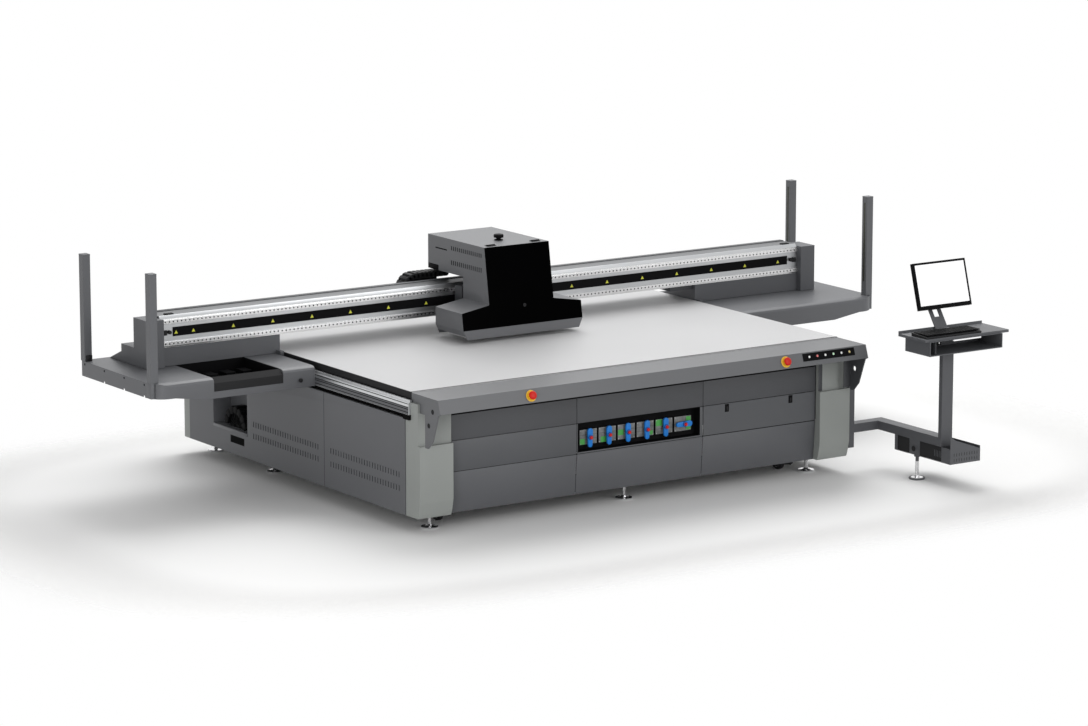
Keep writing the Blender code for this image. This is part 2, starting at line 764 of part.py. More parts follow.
def side_panels():
    """Long side covers; the left one has a bay for the gantry's cable chain."""
    low = (0, FRONT_BAR_Y, CABINET_BOTTOM)
    high = (PAN_RETURN, REAR_PANEL_Y - FIT, SIDE_TOP)
    left = pan("side_panel_left", low, high, "+x", SLATE)
    bay = block("chain_bay_box", (0.001, RECESS_FRONT - SHEET, RECESS_FLOOR - SHEET),
                (RECESS_DEPTH + SHEET, RECESS_BACK + SHEET, RECESS_TOP + SHEET))
    room = block("chain_bay_room", (-0.01, RECESS_FRONT, RECESS_FLOOR),
                 (RECESS_DEPTH, RECESS_BACK, RECESS_TOP))
    join(left, bay)
    cut(left, room)
    pan("side_panel_right", (mirror_x(PAN_RETURN), low[1], low[2]), (mirror_x(0), high[1], high[2]),
        "-x", SLATE)


def side_chain():
    """The end loop of the gantry's cable chain, standing on the bay's floor."""
    middle = ((RECESS_FRONT + RECESS_BACK) / 2 - 0.015, RECESS_FLOOR + FIT)
    outer = arc(middle, SIDE_CHAIN_R, 0, 180, 18)
    inner = arc(middle, SIDE_CHAIN_R - SIDE_CHAIN_LINK, 180, 0, 14)
    start = (RECESS_DEPTH - SIDE_CHAIN_WIDTH) / 2
    prism("side_cable_chain", outer + inner, "x", start, start + SIDE_CHAIN_WIDTH, BLACK)


def rear_panel():
    """The back cover, folded round both rear corners; open above and below."""
    x0, x1 = 0, CABINET_WIDTH
    y0, y1 = REAR_PANEL_Y, CABINET_DEPTH
    outline = [(x0, y0), (x0 + SHEET, y0), (x0 + SHEET, y1 - SHEET), (x1 - SHEET, y1 - SHEET),
               (x1 - SHEET, y0), (x1, y0), (x1, y1), (x0, y1)]
    prism("rear_panel", outline, "z", CABINET_BOTTOM, REAR_TOP, SAGE)


# ---------------------------------------------------------------- vacuum bed, manifold and valves


def zone_centres():
    """Middle of each suction zone across the bed."""
    pitch = (mirror_x(BED_LEFT) - BED_LEFT - BED_RIB) / ZONE_COUNT
    return [BED_LEFT + BED_RIB / 2 + pitch * (zone + 0.5) for zone in range(ZONE_COUNT)], pitch


def vacuum_bed():
    """The bed: a skin over six suction zones, each with a port in its floor near the front."""
    bed = block("vacuum_bed", (BED_LEFT, BED_FRONT, BED_TOP - BED_THICK),
                (mirror_x(BED_LEFT), BED_BACK, BED_TOP), BED_GREY)
    centres, pitch = zone_centres()
    for number, x in enumerate(centres):
        room = pitch / 2 - BED_RIB / 2
        cut(bed, block(f"zone_{number}", (x - room, BED_FRONT + BED_RIB, BED_TOP - BED_THICK + BED_FLOOR),
                       (x + room, BED_BACK - BED_RIB, BED_TOP - BED_SKIN)))
        cut(bed, rod(f"port_{number}", ZONE_PORT_R, (x, pipe_y(), BED_TOP - BED_THICK - 0.01),
                     (x, pipe_y(), BED_TOP - BED_THICK + BED_FLOOR + 0.002), sides=16))


def pipe_y():
    """The suction pipes rise in one plane, behind the bed's front wall."""
    return BED_FRONT + BED_RIB + ZONE_PORT_R + 0.001


def valve_xs():
    return [VALVE_FIRST + VALVE_PITCH * number for number in range(VALVE_COUNT)]


def valve_panel():
    """The black tray in the front window, with the six valve bodies on its back wall."""
    low = Vector((WINDOW_LEFT + FIT, PANEL_SETBACK + FIT, WINDOW_BOTTOM + FIT))
    high = Vector((WINDOW_RIGHT - FIT, PANEL_SETBACK + TRAY_DEPTH, WINDOW_TOP - FIT))
    tray = pan("valve_panel", low, high, "-y", BLACK)
    back = high.y - SHEET
    width, thick, height = VALVE_BODY
    for number, x in enumerate(valve_xs()):
        body = block(f"valve_body_{number}", (x - width / 2, back - thick, VALVE_Z - height / 2),
                     (x + width / 2, back + 0.001, VALVE_Z + height / 2))
        boss = rod(f"valve_boss_{number}", VALVE_BOSS_R, (x, back - thick - VALVE_BOSS_H, VALVE_Z),
                   (x, back, VALVE_Z), sides=16)
        join(tray, body, boss)


def valve_handle(number, x, turned):
    """A wing handle on its valve's spindle; the last one stands turned a quarter."""
    face = PANEL_SETBACK + TRAY_DEPTH - SHEET - VALVE_BODY[1] - VALVE_BOSS_H - HANDLE_PLAY
    spindle = empty(f"valve_spindle_{number}", (x, face, VALVE_Z), MACHINE)
    outline = (arc((x, VALVE_Z + HANDLE_UP - HANDLE_HALF), HANDLE_HALF, 0, 180, 6)
               + arc((x, VALVE_Z - HANDLE_DOWN + HANDLE_HALF * 0.8), HANDLE_HALF * 0.8, 180, 360, 6))
    handle = prism(f"valve_handle_{number}", outline, "y", face - HANDLE_THICK, face, BLUE,
                   origin=(x, face, VALVE_Z), parent=spindle)
    hub = rod(f"hub_{number}", HANDLE_HUB_R, (x, face - HANDLE_THICK - 0.006, VALVE_Z),
              (x, face - 0.001, VALVE_Z), sides=16, parent=spindle)
    join(handle, hub)
    spindle.rotation_euler = (0, math.radians(90 if turned else 0), 0)


def vacuum_manifold():
    """A header behind the valves; one pipe from each valve fans out to its suction zone."""
    xs = valve_xs()
    front = PANEL_SETBACK + TRAY_DEPTH + FIT
    half = VALVE_BODY[2] / 2
    header = block("vacuum_manifold", (xs[0] - VALVE_BODY[0] / 2, front, VALVE_Z - half),
                   (xs[-1] + VALVE_BODY[0] / 2, front + MANIFOLD_DEPTH, VALVE_Z + half), STEEL)
    centres, _ = zone_centres()
    y = pipe_y()
    floor = BED_TOP - BED_THICK
    for number, (x, zone_x) in enumerate(zip(xs, centres)):
        route = [(x, y, VALVE_Z + half - 0.01), (x, y, VALVE_Z + half + PIPE_RISE),
                 (zone_x, y, floor - PIPE_RISE), (zone_x, y, floor + BED_FLOOR - 0.001)]
        join(header, tube(f"pipe_{number}", PIPE_R, route))


# ---------------------------------------------------------------- side rails


def side_rail(side):
    """The bed's side beam, with the gantry's linear guide along its top."""
    right = RAIL_OUT + RAIL_WIDTH
    guide = (RAIL_OUT + right) / 2
    outline = [(RAIL_OUT, RAIL_BOTTOM), (right, RAIL_BOTTOM), (right, RAIL_TOP),
               (guide + GUIDE_WIDTH / 2, RAIL_TOP), (guide + GUIDE_WIDTH / 2, RAIL_TOP + GUIDE_HEIGHT),
               (guide - GUIDE_WIDTH / 2, RAIL_TOP + GUIDE_HEIGHT), (guide - GUIDE_WIDTH / 2, RAIL_TOP),
               (RAIL_OUT, RAIL_TOP)]
    if side == "right":
        outline = mirrored(outline)
    prism("side_rail_" + side, outline, "y", COLUMN_NECK_DEPTH + FIT, REAR_PANEL_Y - FIT, ALUMINIUM)


# ---------------------------------------------------------------- console and its controls


def console():
    """The operator's console: a folded sill along the front with a gusset at each end."""
    t = SHEET
    back = BED_FRONT - FIT
    foot_y = PANEL_SETBACK - FIT
    outer = [(back, CONSOLE_TOP), (CONSOLE_FRONT_TOP, CONSOLE_TOP), (CONSOLE_FRONT_BOTTOM, CONSOLE_LIP_Z),
             (foot_y, CONSOLE_LIP_Z - CONSOLE_FALL)]
    inner = [(foot_y, CONSOLE_LIP_Z - CONSOLE_FALL + t), (CONSOLE_FRONT_BOTTOM + t, CONSOLE_LIP_Z + t),
             (CONSOLE_FRONT_TOP + t, CONSOLE_TOP - t), (back, CONSOLE_TOP - t)]
    sill = prism("console", outer + inner, "x", CONSOLE_END, mirror_x(CONSOLE_END), CONSOLE_GREY)
    gusset = [(back, CONSOLE_TOP), (CONSOLE_FRONT_TOP, CONSOLE_TOP), (CONSOLE_FRONT_BOTTOM, CONSOLE_LIP_Z),
              (CONSOLE_GUSSET_FRONT, CONSOLE_LIP_Z - 0.012), (GUSSET_TOE_Y - 0.055, GUSSET_TOE_Z),
              (GUSSET_TOE_Y, PANEL_SHELF + FIT), (GUSSET_BACK, PANEL_SHELF + FIT),
              (GUSSET_BACK, CONSOLE_LIP_Z - CONSOLE_FALL),
              (COLUMN_NECK_SETBACK - FIT, CONSOLE_LIP_Z - CONSOLE_FALL),
              (COLUMN_NECK_SETBACK - FIT, COLUMN_TOP + FIT), (back, COLUMN_TOP + FIT)]
    for side in ("left", "right"):
        x0, x1 = spans(side, CONSOLE_END, CONSOLE_END + CONSOLE_PLATE)
        join(sill, prism("gusset_plate_" + side, gusset, "x", x0, x1))
        x0, x1 = spans(side, COLUMN_INSET - FIT, COLUMN_INSET + COLUMN_WIDTH + FIT)
        cut(sill, block("column_room_" + side, (x0, COLUMN_NECK_SETBACK - FIT, PANEL_SHELF),
                        (x1, COLUMN_DEPTH, COLUMN_TOP + FIT)))
    y, z = CONSOLE_HOLE
    for side in ("left", "right"):
        x0, x1 = spans(side, CONSOLE_END - 0.01, CONSOLE_END + CONSOLE_PLATE + 0.01)
        cut(sill, rod(f"gusset_hole_{side}", CONSOLE_HOLE_R, (x0, y, z), (x1, y, z), sides=20))
    for number, x in enumerate(ESTOP_X):
        spot = on_console(x, CONTROL_DROP)
        cut(sill, rod(f"estop_bore_{number}", ESTOP_STEM_R + ESTOP_BORE_PLAY, spot - OUTWARD * 0.02,
                      spot + OUTWARD * 0.02, sides=20))
    reach = BUTTON_R + BUTTON_ROOM
    high, low = (on_console(0, PLATE_DROP + offset) for offset in (-reach, reach))
    slot = [(p.y, p.z) for p in (high - OUTWARD * 0.02, high + OUTWARD * 0.02,
                                 low + OUTWARD * 0.02, low - OUTWARD * 0.02)]
    cut(sill, prism("button_slot", slot, "x", BUTTON_FIRST - reach,
                    BUTTON_FIRST + BUTTON_PITCH * (BUTTON_COUNT - 1) + reach))


def on_console(x, drop):
    """A point of the sloping face, some way down from its top edge."""
    return Vector((x, 0, 0)) + CONSOLE_EDGE + SLOPE * drop


def button_plate():
    """The black plate that carries the push buttons, lying on the sloping face."""
    middle = on_console((PLATE_LEFT + PLATE_RIGHT) / 2, PLATE_DROP)
    lift = OUTWARD * (FIT + PLATE_THICK / 2)
    shape = bmesh.new()
    bmesh.ops.create_cube(shape, size=1.0)
    bmesh.ops.scale(shape, vec=(PLATE_RIGHT - PLATE_LEFT, PLATE_THICK, PLATE_HEIGHT), verts=shape.verts)
    plate = shaped("button_plate", shape, BLACK, middle + lift, MACHINE)
    plate.rotation_euler = (CONTROL_ANGLE, 0, 0)
    for number in range(BUTTON_COUNT):
        spot = on_console(BUTTON_FIRST + BUTTON_PITCH * number, PLATE_DROP)
        cut(plate, rod(f"plate_bore_{number}", BUTTON_R + BUTTON_PLAY, spot - OUTWARD * 0.01,
                       spot + OUTWARD * 0.02, sides=20))


def push_button(number, colour):
    """A round push button that slides in through its plate."""
    spot = on_console(BUTTON_FIRST + BUTTON_PITCH * (number - 1), PLATE_DROP)
    face = FIT + PLATE_THICK
    button = rod(f"push_button_{number}", BUTTON_R, spot - OUTWARD * BUTTON_IN,
                 spot + OUTWARD * (face + BUTTON_PROUD), colour, origin=spot + OUTWARD * face, sides=20)
    round_shading(button)


def emergency_stop(side, x):
    """A mushroom head on a stem that passes through the console's face."""
    spot = on_console(x, CONTROL_DROP)
    head = rod("estop_" + side, ESTOP_HEAD_R, spot + OUTWARD * ESTOP_STANDOFF,
               spot + OUTWARD * (ESTOP_STANDOFF + ESTOP_HEAD_H), RED, origin=spot, sides=24)
    join(head, rod(f"estop_stem_{side}", ESTOP_STEM_R, spot - OUTWARD * ESTOP_STEM_IN,
                   spot + OUTWARD * (ESTOP_STANDOFF + 0.002), sides=20))
    round_shading(head)


# ---------------------------------------------------------------- wings and their posts


def wing_front_outline(inset):
    """Front view of the left wing: its underside rises towards the outer end."""
    start, end = WING_STEP
    top = WING_TOP - inset
    inner = RAIL_OUT - FIT + (0.01 if inset else 0)
    return [(inner, top), (WING_OUT + inset, top), (WING_OUT + inset, WING_SHALLOW + inset),
            (WING_OUT + start, WING_SHALLOW + inset), (WING_OUT + end, WING_DEEP + inset),
            (inner, WING_DEEP + inset)]


def wing_plan_outline():
    """Plan of the left wing, its two outer corners rounded."""
    r = WING_CORNER_R
    inner = RAIL_OUT + 0.05
    return ([(inner, WING_FRONT)]
            + [(x, y) for x, y in reversed(arc((WING_OUT + r, WING_FRONT + r), r, 180, 270, 8))]
            + [(x, y) for x, y in reversed(arc((WING_OUT + WING_REAR_R, WING_BACK - WING_REAR_R),
                                               WING_REAR_R, 90, 180, 6))]
            + [(inner, WING_BACK)])


def wing(side):
    """A service shelf beside the bed, with a rounded front edge; its inner end bolts to the rail."""
    flip = mirrored if side == "right" else list
    shelf = prism("wing_" + side, flip(wing_front_outline(0)), "y", WING_FRONT, WING_BACK, SLATE)
    trim = prism(f"wing_{side}_plan", flip(wing_plan_outline()), "z", WING_DEEP - 0.05, WING_TOP + 0.05)
    apply_tool(shelf, trim, "INTERSECT")
    nose = [(WING_FRONT - 0.02, WING_TOP + 0.02), (WING_FRONT - 0.02, WING_TOP - WING_NOSE_R)]
    nose += [(WING_FRONT + WING_NOSE_R * (1 - math.cos(math.radians(a))),
              WING_TOP - WING_NOSE_R * 0.5 * (1 - math.sin(math.radians(a)))) for a in (0, 30, 60, 90)]
    nose += [(WING_FRONT + WING_NOSE_R, WING_TOP + 0.02)]
    x0, x1 = spans(side, WING_OUT - 0.1, RAIL_OUT + 0.1)
    cut(shelf, prism(f"wing_{side}_nose", nose, "x", x0, x1))
    cut(shelf, prism(f"wing_{side}_inside", flip(wing_front_outline(WALL)), "y",
                     WING_FRONT + WING_NOSE_R, WING_BACK - WING_CORNER_R / 3))
    if side == "left":
        cut(shelf, block("cap_opening", (CAP_LEFT, WING_FRONT - 0.1, CAP_FLOOR),
                         (CAP_RIGHT, CAP_BACK, WING_TOP + 0.1)))


def capping_tray():
    """The black tray that the carriage parks over, with its front cover and capping pads."""
    low = Vector((CAP_LEFT + FIT, WING_FRONT + FIT, CAP_FLOOR + FIT))
    high = Vector((CAP_RIGHT - FIT, CAP_BACK - FIT, WING_TOP))
    outline = [(low.y, low.z), (high.y, low.z), (high.y, high.z), (CAP_FRONT, high.z),
               (low.y, high.z - CAP_BEVEL)]
    tray = prism("capping_tray", outline, "x", low.x, high.x, BLACK)
    cut(tray, block("cap_room", (low.x + SHEET, CAP_FRONT + SHEET, low.z + SHEET),
                    (high.x - SHEET, high.y - SHEET, high.z + 0.1)))
    size = Vector(CAP_PAD)
    columns, rows = CAP_PADS
    for column in range(columns):
        for row in range(rows):
            x = low.x + (high.x - low.x) * (column + 0.5) / columns - size.x / 2
            y = CAP_FRONT + (high.y - CAP_FRONT) * (row + 0.5) / rows - size.y / 2
            z = low.z + SHEET
            join(tray, block(f"cap_pad_{column}_{row}", (x, y, z - 0.001), (x + size.x, y + size.y, z + size.z)))


def posts():
    """Four square posts for the light curtains, at the wings' outer corners."""
    for side, x in (("left", POST_X), ("right", mirror_x(POST_X))):
        for end, y in (("front", POST_FRONT_Y), ("rear", POST_BACK_Y)):
            block(f"post_{end}_{side}", (x - POST / 2, y - POST / 2, WING_TOP + FIT),
                  (x + POST / 2, y + POST / 2, POST_TOP), SLATE)


# ---------------------------------------------------------------- gantry


def rail_ridge(low):
    """The three points that a guide rail adds to the beam's front, from its top edge down."""
    high = low + BEAM_RAIL_H
    return [(BEAM_FRONT, high), (BEAM_FRONT - BEAM_RAIL_PROUD, high),
            (BEAM_FRONT - BEAM_RAIL_PROUD, low), (BEAM_FRONT, low)]


def gantry_beam(holder):
    """An extruded hollow beam: two guide rails in front, a trough for the cable chain behind."""
    back = BEAM_BACK + TROUGH_DEPTH
    outline = [(BEAM_BACK, BEAM_TOP), (BEAM_FRONT + BEAM_CHAMFER, BEAM_TOP),
               (BEAM_FRONT, BEAM_TOP - BEAM_CHAMFER)]
    outline += rail_ridge(BEAM_RAIL_HIGH) + rail_ridge(BEAM_RAIL_LOW)
    outline += [(BEAM_FRONT, BEAM_BOTTOM), (back, BEAM_BOTTOM), (back, BEAM_BOTTOM + TROUGH_LIP),
                (back - TROUGH_WALL, BEAM_BOTTOM + TROUGH_LIP),
                (back - TROUGH_WALL, BEAM_BOTTOM + TROUGH_WALL), (BEAM_BACK, BEAM_BOTTOM + TROUGH_WALL)]
    beam = prism("gantry_beam", outline, "x", BEAM_LEFT, mirror_x(BEAM_LEFT), ALUMINIUM, parent=holder)
    w = BEAM_WALL
    inner = [(BEAM_FRONT + w, BEAM_BOTTOM + w), (BEAM_BACK - w, BEAM_BOTTOM + w),
             (BEAM_BACK - w, BEAM_TOP - w), (BEAM_FRONT + w + BEAM_CHAMFER, BEAM_TOP - w),
             (BEAM_FRONT + w, BEAM_TOP - w - BEAM_CHAMFER)]
    cut(beam, prism("beam_inside", inner, "x", BEAM_LEFT - 0.1, mirror_x(BEAM_LEFT) + 0.1, parent=holder))


def motor_strip(holder):
    """The black magnet cover of the carriage's linear motor."""
    block("motor_strip", (STRIP_LEFT, BEAM_FRONT - FIT - STRIP_THICK, STRIP_LOW),
          (mirror_x(STRIP_LEFT), BEAM_FRONT - FIT, STRIP_HIGH), BLACK, parent=holder)


def end_outline(inset, floor):
    """Side view of an end cover; inset walls open at the floor."""
    i = inset
    return [(END_FRONT + i, floor), (END_FRONT + i, END_TOP - i), (END_BACK - i, END_TOP - i),
            (END_BACK - i, END_STEP_Z - i), (END_STEP_BACK - i, END_STEP_Z - i),
            (END_STEP_BACK - i, END_SLANT_Z - i / 2), (END_SLANT_BACK - i * 2.5, floor)]


def leg_outline(inset, floor):
    """Side view of a leg, under the beam."""
    i = inset
    top = BEAM_BOTTOM - FIT - i
    return [(BEAM_FRONT + i, floor), (BEAM_FRONT + i, top), (BEAM_BACK - i, top),
            (BEAM_BACK - i, END_SLANT_Z - i), (LEG_SLANT_BACK - i * 2.5, floor)]


def gantry_end(side, holder):
    """An end cover over the beam's end, with the leg that runs on the side rail."""
    x0, x1 = spans(side, END_OUT, BEAM_LEFT - FIT)
    cover = prism("gantry_end_" + side, end_outline(0, END_BOTTOM), "x", x0, x1, SLATE, parent=holder)
    leg0, leg1 = spans(side, BEAM_LEFT - FIT - 0.001, LEG_IN)
    join(cover, prism(f"leg_{side}", leg_outline(0, END_BOTTOM), "x", leg0, leg1, parent=holder))
    low = END_BOTTOM - 0.01
    in0, in1 = spans(side, END_OUT + WALL, BEAM_LEFT - FIT - WALL)
    cut(cover, prism(f"end_{side}_inside", end_outline(WALL, low), "x", in0, in1, parent=holder))
    in0, in1 = spans(side, BEAM_LEFT + WALL, LEG_IN - SHOE_WIDTH - 2 * WALL)
    cut(cover, prism(f"leg_{side}_inside", leg_outline(WALL, low), "x", in0, in1, parent=holder))
    rail_middle = RAIL_OUT + RAIL_WIDTH / 2
    s0, s1 = spans(side, rail_middle - SHOE_WIDTH / 2, rail_middle + SHOE_WIDTH / 2)
    join(cover, block(f"shoe_{side}", (s0, SHOE_FRONT, RAIL_TOP + GUIDE_HEIGHT + SHOE_PLAY),
                      (s1, SHOE_BACK, END_BOTTOM + 0.02), parent=holder))


# ---------------------------------------------------------------- carriage


def front_y(z):
    """The carriage front's depth at a height: it leans back from the sill up."""
    return SILL_FRONT + FRONT_LEAN * max(0.0, z - SILL_TOP)


def silhouette(inset):
    """Front view of the carriage's lower part: sill, flare and sloping shoulders."""
    i = inset
    half = [(FLARE_HALF - SILL_TAPER - i, SILL_BOTTOM), (FLARE_HALF - i, SILL_TOP),
            (FLARE_HALF - i, FLARE_SIDE_Z - i), (CARRIAGE_HALF - i, FLARE_TOP_Z - i),
            (CARRIAGE_HALF - i, CARRIAGE_SADDLE + 0.01)]
    right = [(CARRIAGE_MIDDLE + u, z) for u, z in half]
    left = [(CARRIAGE_MIDDLE - u, z) for u, z in reversed(half)]
    return right + left


def leaning_box(name, low_y, z0, z1, holder):
    """A wide slab whose back face follows the leaning front, low_y behind it."""
    outline = [(SILL_FRONT - 0.5, z0), (front_y(z0) + low_y, z0)]
    if z0 < SILL_TOP:
        outline.append((SILL_FRONT + low_y, SILL_TOP))
    outline += [(front_y(z1) + low_y, z1), (SILL_FRONT - 0.5, z1)]
    return prism(name, outline, "x", CARRIAGE_MIDDLE - 1, CARRIAGE_MIDDLE + 1, parent=holder)


def carriage_housing(holder):
    """The carriage's cover: an inverted T in front, reaching back over the beam; front and foot open."""
    housing = prism("carriage_housing", silhouette(0), "y", SILL_FRONT, CARRIAGE_WAIST_BACK, SLATE,
                    parent=holder)
    half = CARRIAGE_HALF
    upper = block("carriage_upper", (CARRIAGE_MIDDLE - half, SILL_FRONT, CARRIAGE_SADDLE),
                  (CARRIAGE_MIDDLE + half, CARRIAGE_REAR, CARRIAGE_TOP), parent=holder)
    ear_x, ear_y = LOOP_EAR
    ear = block("chain_ear", (LOOP_UPPER_END - ear_x, CARRIAGE_REAR - ear_y, LOOP_Z + LOOP_R + FIT),
                (LOOP_UPPER_END, CARRIAGE_REAR, CARRIAGE_SADDLE + 0.001), parent=holder)
    join(housing, upper, ear)
    cut(housing, leaning_box("front_lean", COVER_THICK + FIT, SILL_TOP + FIT, CARRIAGE_TOP + 0.1, holder))
    low_room = [(u, z - (0.02 if z == SILL_BOTTOM else 0)) for u, z in silhouette(WALL)]
    cut(housing, prism("carriage_low_room", low_room, "y", SILL_FRONT + WALL,
                       CARRIAGE_WAIST_BACK - WALL, parent=holder))
    cut(housing, prism("carriage_front_room", silhouette_above_sill(WALL), "y", SILL_FRONT - 0.1,
                       SILL_FRONT + 0.1, parent=holder))
    cut(housing, block("carriage_high_room",
                       (CARRIAGE_MIDDLE - half + WALL, SILL_FRONT, CARRIAGE_SADDLE + WALL),
                       (CARRIAGE_MIDDLE + half - WALL, CARRIAGE_REAR - WALL, CARRIAGE_TOP - WALL),
                       parent=holder))


def silhouette_above_sill(inset):
    """The lower room again, from just above the sill: it opens the front under the cover."""
    return [(u, max(z, SILL_TOP + WALL)) for u, z in silhouette(inset)]


def cover_outline():
    """Front view of the black cover."""
    half = [(FLARE_HALF, SILL_TOP + FIT), (FLARE_HALF, FLARE_SIDE_Z), (CARRIAGE_HALF, FLARE_TOP_Z),
            (CARRIAGE_HALF, CARRIAGE_TOP)]
    return ([(CARRIAGE_MIDDLE + u, z) for u, z in half]
            + [(CARRIAGE_MIDDLE - u, z) for u, z in reversed(half)])


def carriage_cover(holder):
    """The glossy front cover, hung from two hinges along its top edge."""
    top = front_y(CARRIAGE_TOP)
    axis = (CARRIAGE_MIDDLE, top, CARRIAGE_TOP)
    hinge = empty("cover_hinge", axis, holder)
    cover = prism("carriage_front_cover", cover_outline(), "y", SILL_FRONT - 0.1, SILL_FRONT + 0.3, GLOSS,
                  origin=axis, parent=hinge)
    cut(cover, leaning_box("cover_face", 0, SILL_TOP - 0.1, CARRIAGE_TOP + 0.1, hinge))
    keep = [(front_y(SILL_TOP) + COVER_THICK, SILL_TOP - 0.1),
            (front_y(SILL_TOP) + COVER_THICK, SILL_TOP),
            (front_y(CARRIAGE_TOP + 0.1) + COVER_THICK, CARRIAGE_TOP + 0.1),
            (SILL_FRONT + 0.5, CARRIAGE_TOP + 0.1), (SILL_FRONT + 0.5, SILL_TOP - 0.1)]
    cut(cover, prism("cover_back", keep, "x", CARRIAGE_MIDDLE - 1, CARRIAGE_MIDDLE + 1, parent=hinge))


def carriage_slider(holder):
    """The slide plate on the beam's rails, with grooves for both and a bar for the lift."""
    back = BEAM_FRONT - BEAM_RAIL_PROUD - SLIDER_PLAY
    m = CARRIAGE_MIDDLE
    slider = block("carriage_slider", (m - SLIDER_HALF, SLIDER_FRONT, SLIDER_BOTTOM),
                   (m + SLIDER_HALF, back, SLIDER_TOP), STEEL, parent=holder)
    for sign in (-1, 1):
        x = m + sign * (SLIDER_HALF - LIFT_BAR)
        join(slider, block(f"lift_bar_{sign + 1}", (x - LIFT_BAR / 2, CARRIAGE_WAIST_BACK + FIT, SLIDER_BOTTOM),
                           (x + LIFT_BAR / 2, SLIDER_FRONT + 0.002, LIFT_BAR_TOP), parent=holder))


def head_block(holder):
    """The print heads in two rows on their plate, with a UV lamp at either end."""
    back = CARRIAGE_WAIST_BACK - WALL - FIT
    m = CARRIAGE_MIDDLE
    plate = block("head_block", (m - HEAD_PLATE_HALF, HEAD_PLATE_FRONT, HEAD_PLATE_Z),
                  (m + HEAD_PLATE_HALF, back, HEAD_PLATE_Z + HEAD_PLATE_H), STEEL, parent=holder)
    middle_y = (HEAD_PLATE_FRONT + back) / 2
    columns, rows = HEAD_GRID
    size = Vector(HEAD_SIZE)
    for column in range(columns):
        for row in range(rows):
            x = m + (column - (columns - 1) / 2) * HEAD_PITCH[0]
            y = middle_y + (row - (rows - 1) / 2) * HEAD_PITCH[1]
            join(plate, block(f"head_{column}_{row}", (x - size.x / 2, y - size.y / 2, HEAD_BOTTOM),
                              (x + size.x / 2, y + size.y / 2, HEAD_BOTTOM + size.z), parent=holder))
    lamp = Vector(LAMP_SIZE)
    for sign in (-1, 1):
        x = m + sign * (HEAD_PLATE_HALF - lamp.x / 2 - 0.01)
        join(plate, block(f"lamp_{sign + 1}", (x - lamp.x / 2, middle_y - lamp.y / 2, HEAD_BOTTOM + 0.004),
                          (x + lamp.x / 2, middle_y + lamp.y / 2, HEAD_BOTTOM + lamp.z), parent=holder))


def chain_loop(holder):
    """The end loop of the carriage's cable chain, behind the beam."""
    middle = (LOOP_X, LOOP_Z)
    outer = arc(middle, LOOP_R, 90, 270, 16)
    inner = arc(middle, LOOP_R - LOOP_LINK, 270, 90, 14)
    low, high = LOOP_Z - LOOP_R, LOOP_Z + LOOP_R
    outline = (outer + [(LOOP_LOWER_END, low), (LOOP_LOWER_END, low + LOOP_LINK)] + inner
               + [(LOOP_UPPER_END, high - LOOP_LINK), (LOOP_UPPER_END, high)])
    prism("cable_chain", outline, "y", LOOP_FRONT, LOOP_FRONT + LOOP_WIDTH, BLACK, parent=holder)


def gantry():
    """Everything that travels along the bed."""
    holder = empty("gantry", (MIDDLE_X, BEAM_FRONT, BEAM_BOTTOM), MACHINE)
    gantry_beam(holder)
    motor_strip(holder)
    for side in ("left", "right"):
        gantry_end(side, holder)
    slide = empty("carriage", (CARRIAGE_MIDDLE, BEAM_FRONT, BEAM_BOTTOM), holder)
    carriage_slider(slide)
    lift = empty("print_unit", (CARRIAGE_MIDDLE, CARRIAGE_WAIST_BACK, SILL_BOTTOM), slide)
    carriage_housing(lift)
    carriage_cover(lift)
    head_block(lift)
    chain_loop(lift)


# ---------------------------------------------------------------- operator stand


def stand_frame():
    """Hanger, bent arm, mast and foot of the operator stand, welded into one."""
    x0, x1 = ARM_X, ARM_X + ARM_WIDTH
    hanger_x = CABINET_WIDTH - COLUMN_INSET + FIT
    stand = block("stand_frame", (x0, ARM_FRONT, ARM_BOTTOM), (x1, ARM_BACK, ARM_TOP), SLATE,
                  origin=(0, 0, 0))
    reach = block("arm_reach", (hanger_x + 0.01, HANGER_FRONT, ARM_BOTTOM), (x0 + 0.01, ARM_BACK, ARM_TOP))
    hanger = block("arm_hanger", (hanger_x, HANGER_FRONT, HANGER_LOW),
                   (HANGER_OUT, HANGER_BACK, HANGER_HIGH))
    mast = block("mast", (x0, ARM_FRONT, ARM_BOTTOM + 0.001),
                 (x1, ARM_FRONT + MAST_DEPTH, BIN_BOTTOM - FIT))
    foot_block = block("foot_block", (x0 + TRAY_PLAY, BLOCK_FRONT, TRAY_FLOOR),
                       (x0 + BLOCK_WIDTH, BLOCK_BACK, ARM_BOTTOM + 0.001))
    pieces = foot(x0 + BLOCK_WIDTH / 2, STAND_FOOT_Y, TRAY_FLOOR, "stand_foot")
    join(stand, reach, hanger, mast, foot_block, *pieces)


